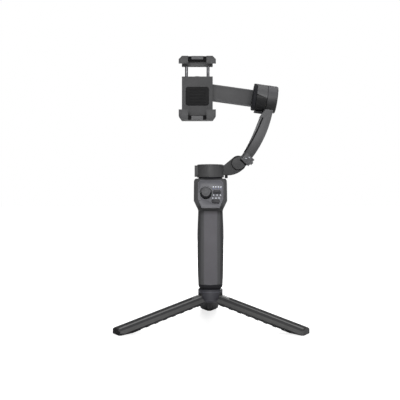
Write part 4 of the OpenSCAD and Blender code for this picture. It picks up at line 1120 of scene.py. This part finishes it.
tiltShape = {"radius": 17.5, "cup": 13, "cupRound": 1.8, "inner": 14, "wall": 1.5, "bore": 2.3, "seamSlope": 17,
             "seamGap": 0.07, "seamEdge": 0.25, "capRadius": 15.5, "capGroove": (10.6, 0.6, 0.15),
             "tabLow": (-14, -4, -20), "tabHigh": (1.5, 4, -18.1), "tabEdge": 0.5}


def makeTiltMotor(s):
    r, cup, inner, wall, soft = s["radius"], s["cup"], s["inner"], s["wall"], s["cupRound"]
    cupAxes, capRadius = tiltAxes @ turned(y=90), s["capRadius"]
    outer = turnedPiece("tiltCup", [(0, 0), (r - 0.35, 0), (r, 0.35), (r, cup - soft)]
                        + softRim(r, cup, soft, 8)
                        + [(capRadius + 0.1, cup), (capRadius + 0.1, cup - 1.6), (0, cup - 1.6)])
    coat(outer, "cup")
    settle(outer, cupAxes, "folding_arm", "casing_plastic", "upper_arm")
    cap = turnedPiece("tiltEndCap", [(0, cup - 1.5), (capRadius - 0.1, cup - 1.5), (capRadius, cup - 1.4),
                                     (capRadius, cup - 0.35), (capRadius - 0.35, cup)]
                      + ringGroove(*s["capGroove"], cup) + [(0, cup)])
    coat(cap, "motor")
    settle(cap, cupAxes, "folding_arm", "hub_plastic", "tilt_end_cap")
    profile = [(r - wall, 0.3), (r - 0.3, 0.3), (r, 0.6), (r, inner - 0.4), (r - 0.35, inner), (s["bore"], inner),
               (s["bore"], inner - wall), (r - wall, inner - wall), (r - wall, 0.3)]
    slope, middle = math.radians(s["seamSlope"]), Vector((-inner / 2, 0, 0)) * mm
    normal = Vector((math.sin(slope), 0, math.cos(slope)))
    for name, node, side, look, edgeLook in (
            ("tiltShellUpper", "tilt_housing_upper", 1, "shell", "shellEdge"),
            ("tiltShellLower", "tilt_housing_lower", -1, "shellLow", "dark")):
        shell = setDown(turnedPiece(name, profile), turned(y=-90))
        splitAt(shell, middle + normal * (s["seamGap"] * mm * side), normal, side > 0)
        coat(shell, look, edgeLook)
        roundEdges(shell, s["seamEdge"], 2, 50)
        settle(shell, tiltAxes, "tilt_arm", "casing_plastic", node)
    tab = dress(blockPiece("tiltStop", s["tabLow"], s["tabHigh"]), "dark", s["tabEdge"])
    settle(tab, tiltAxes, "folding_arm", "casing_plastic", "upper_arm", angle=32)


makeTiltMotor(tiltShape)
print("tilt motor made")


# roll arm: collar, beam behind the phone with its cover, motor plate and rotor

rollShape = {"radius": 17.5, "collar": (14, 18.4), "collarSoft": 1.1, "beamY": (10, 17.5), "beamHalf": 11,
             "run": 90.88, "beamEnd": -16.2, "edge": 1.4, "clear": 18.1, "seamY": 16.5, "plate": 4, "plateSoft": 1,
             "plateGroove": (11, 0.6, 0.15), "coverIn": 2, "coverDepth": 1.5, "coverEnd": -20.4, "coverPlay": 0.08,
             "coverEdge": 0.4, "rotorY": 3, "rotorRoom": 14.3}


def makeRollArm(s):
    r, (inside, outside), soft = s["radius"], s["collar"], s["collarSoft"]
    collar = turnedPiece("rollCollar", [(0, inside + 0.05), (r - 0.5, inside + 0.05), (r, inside + 0.5),
                                        (r, outside - soft)]
                         + softRim(r, outside, soft) + [(0, outside)])
    coat(collar, "dark")
    settle(collar, tiltMotorAxes, "tilt_arm", "casing_plastic", "roll_arm")
    (front, back), half, seam = s["beamY"], s["beamHalf"], s["seamY"]
    beam = blockPiece("rollBeam", (-s["run"], front, -half), (s["beamEnd"], back, half))
    dress(beam, "clamp", s["edge"], 4)
    rotorRoom = discPiece("rotorRoom", s["clear"], -20, seam, 96)
    cutAway(beam, setDown(rotorRoom, tiltAxes.inverted() @ rollAxes @ turned(x=-90)))
    low = Vector((r + s["coverIn"] - s["run"], back - s["coverDepth"], s["coverIn"] - half))
    high = Vector((s["coverEnd"], back, half - s["coverIn"]))
    play = Vector((s["coverPlay"], 0, s["coverPlay"]))
    cutAway(beam, blockPiece("recess", low - play, high + play + Vector((0, 9, 0))))
    settle(beam, tiltAxes, "tilt_arm", "casing_plastic", "roll_arm")
    cover = dress(blockPiece("rollArmCover", low, high), "dark", s["coverEdge"])
    settle(cover, tiltAxes, "tilt_arm", "casing_plastic", "roll_arm_cover", angle=32)
    top, soft = seam + s["plate"], s["plateSoft"]
    plate = turnedPiece("rollPlate", [(0, seam + 3), (6, seam + 3), (6, seam), (r - 0.3, seam), (r, seam + 0.3),
                                      (r, top - soft)] + softRim(r, top, soft)
                        + ringGroove(*s["plateGroove"], top) + [(0, top)])
    coat(plate, "clamp")
    settle(plate, rollAxes @ turned(x=-90), "tilt_arm", "casing_plastic", "roll_arm")
    near, room = s["rotorY"], s["rotorRoom"]
    rotor = turnedPiece("rollRotor", [(0, near), (r - 0.6, near), (r, near + 0.6), (r, seam - 0.7),
                                      (r - 0.35, seam - 0.35), (room, seam - 0.35), (room, near + 1.5),
                                      (2, near + 1.5), (2, seam + 1), (0, seam + 1)])
    coat(rotor, "clamp")
    settle(rotor, rollAxes @ turned(x=-90), "clamp", "casing_plastic", "roll_rotor")


makeRollArm(rollShape)
print("roll arm made")


# clamp: base and jaw with bridges and cut corners, and the three pads

clampShape = {"edge": 0.9, "padY": (-4, -2.5), "padSize": (30, 24), "padCorner": 3, "padEdge": 0.5,
              "baseTop": 16, "seat": 35.2, "grooves": (5, 4), "grooveRadius": 0.55, "jawWidth": 47.6,
              "jawPadY": (-12.5, -2.5), "jawPad": 1.0, "jawPadIn": 0.2, "jawPadEdge": 0.3, "jawGrooves": (12, 3.8),
              "jawGrooveRadius": 0.4, "lowEnd": -41.4, "highEnd": 40.4, "lowCorner": (3.8, 5.2),
              "highCorner": (4.2, 4.2), "jawY": (-16, 4), "gapX": (7.3, 11.9), "gapY": (-13.3, -11.2),
              "bridgeY": (-13.8, -13.2)}


def cornerOutline(half, end, side, corner):
    # the triangle that takes off an outer corner of a jaw
    wide, tall = corner
    turn = math.copysign(1, end)
    first, last = Vector((half - wide, end)), Vector((half, end - turn * tall))
    return [(side * x, z) for x, z in (first + (first - last) * 0.2, last + (last - first) * 0.2,
                                       (half + 3, end + turn * 3))]


def inClamp(place):
    # a place of the whole, in the clamp's own axes and millimetres
    return rollAxes.inverted() @ place / mm


def inBridgeGap(place, s):
    return (s["gapX"][0] < abs(place.x) < s["gapX"][1] and s["gapY"][0] < place.y < s["gapY"][1]
            and abs(place.z) > s["seat"] + 0.7)


def onBridge(place, s):
    return (abs(place.x) < s["gapX"][0] and s["bridgeY"][0] < place.y < s["bridgeY"][1]
            and abs(place.z) > s["seat"] + 0.7)


def spread(count, step):
    # evenly spaced places about the middle
    return [(i - (count - 1) / 2) * step for i in range(count)]


def makeClamp(s):
    half, seat = s["jawWidth"] / 2, s["seat"]
    for name, node, body, end, corner in (("clampBase", "clamp_base", "clamp", s["lowEnd"], s["lowCorner"]),
                                          ("upperJaw", "upper_jaw", "jaw", s["highEnd"], s["highCorner"])):
        part = coat(copyNode(node, name), "clamp", "clampEdge")
        for side in (-1, 1):
            outline = cornerOutline(half, end, side, corner)
            cutAway(part, setDown(slabPiece("corner", outline, *s["jawY"]), rollAxes))
        roundEdges(part, s["edge"], 3, 35, weld=False)
        # painted shade: the gaps beside the bridge take the dark gap finish
        paint(part, "gap", lambda middle, normal: inBridgeGap(inClamp(middle), s))
        paint(part, "shell", lambda middle, normal: normal.y < -0.98 and onBridge(inClamp(middle), s))
        hand(smooth(part, 35), body, "casing_plastic", node)
    front, back = s["padY"]
    pad = slabPiece("backPad", roundedBox(*s["padSize"], s["padCorner"], 6), front, back)
    dress(pad, "rubber", s["padEdge"], angle=35, edgeLook="rubber")
    for z in spread(*s["grooves"]):
        groove = discPiece("groove", s["grooveRadius"], -11, 11, 16)
        cutAway(pad, setDown(groove, moved(0, front - 0.15, z) @ turned(y=90)))
    setDown(pad, rollAxes @ moved(0, 0, (s["baseTop"] - seat) / 2))
    hand(smooth(pad, 35), "clamp", "pad_rubber", "back_pad")
    front, back = s["jawPadY"]
    for name, side, node, body in (("lowerJawPad", -1, "lower_jaw_pad", "clamp"),
                                   ("upperJawPad", 1, "upper_jaw_pad", "jaw")):
        z0, z1 = sorted((seat * side, seat * side + side * s["jawPad"]))
        jawPad = blockPiece(name, (s["jawPadIn"] - half, front, z0), (half - s["jawPadIn"], back, z1))
        dress(jawPad, "rubber", s["jawPadEdge"], 2, edgeLook="rubber")
        for x in spread(*s["jawGrooves"]):
            groove = discPiece("groove", s["jawGrooveRadius"], -3, 3, 12)
            place = moved(x, (front + back) / 2, seat * side - side * 0.12)
            cutAway(jawPad, setDown(groove, place @ turned(x=90)))
        settle(jawPad, rollAxes, body, "pad_rubber", node)


makeClamp(clampShape)
print("clamp made")


# nodes that keep the shape of the CAD model, by finish

keptNodes = {
    "steel": ("tripod_stud", "leg_pins", "usb_port", "joystick_yoke", "pan_bearings", "pan_shaft", "hinge_pin",
              "hinge_washers", "tilt_bearings", "tilt_shaft", "roll_bearings", "clamp_springs"),
    "copper": ("pan_stator", "tilt_stator", "roll_stator"), "magnet": ("pan_magnets", "tilt_magnets"),
    "dark": ("joystick_base", "pan_base"), "rubber": ("hub_pad",), "brass": ("tripod_insert",),
    "cell": ("battery_cell",), "board": ("main_board",), "rod": ("guide_rods",)}
for look, nodes in keptNodes.items():
    for node in nodes:
        coat(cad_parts[node], look)
print("kept nodes finished")
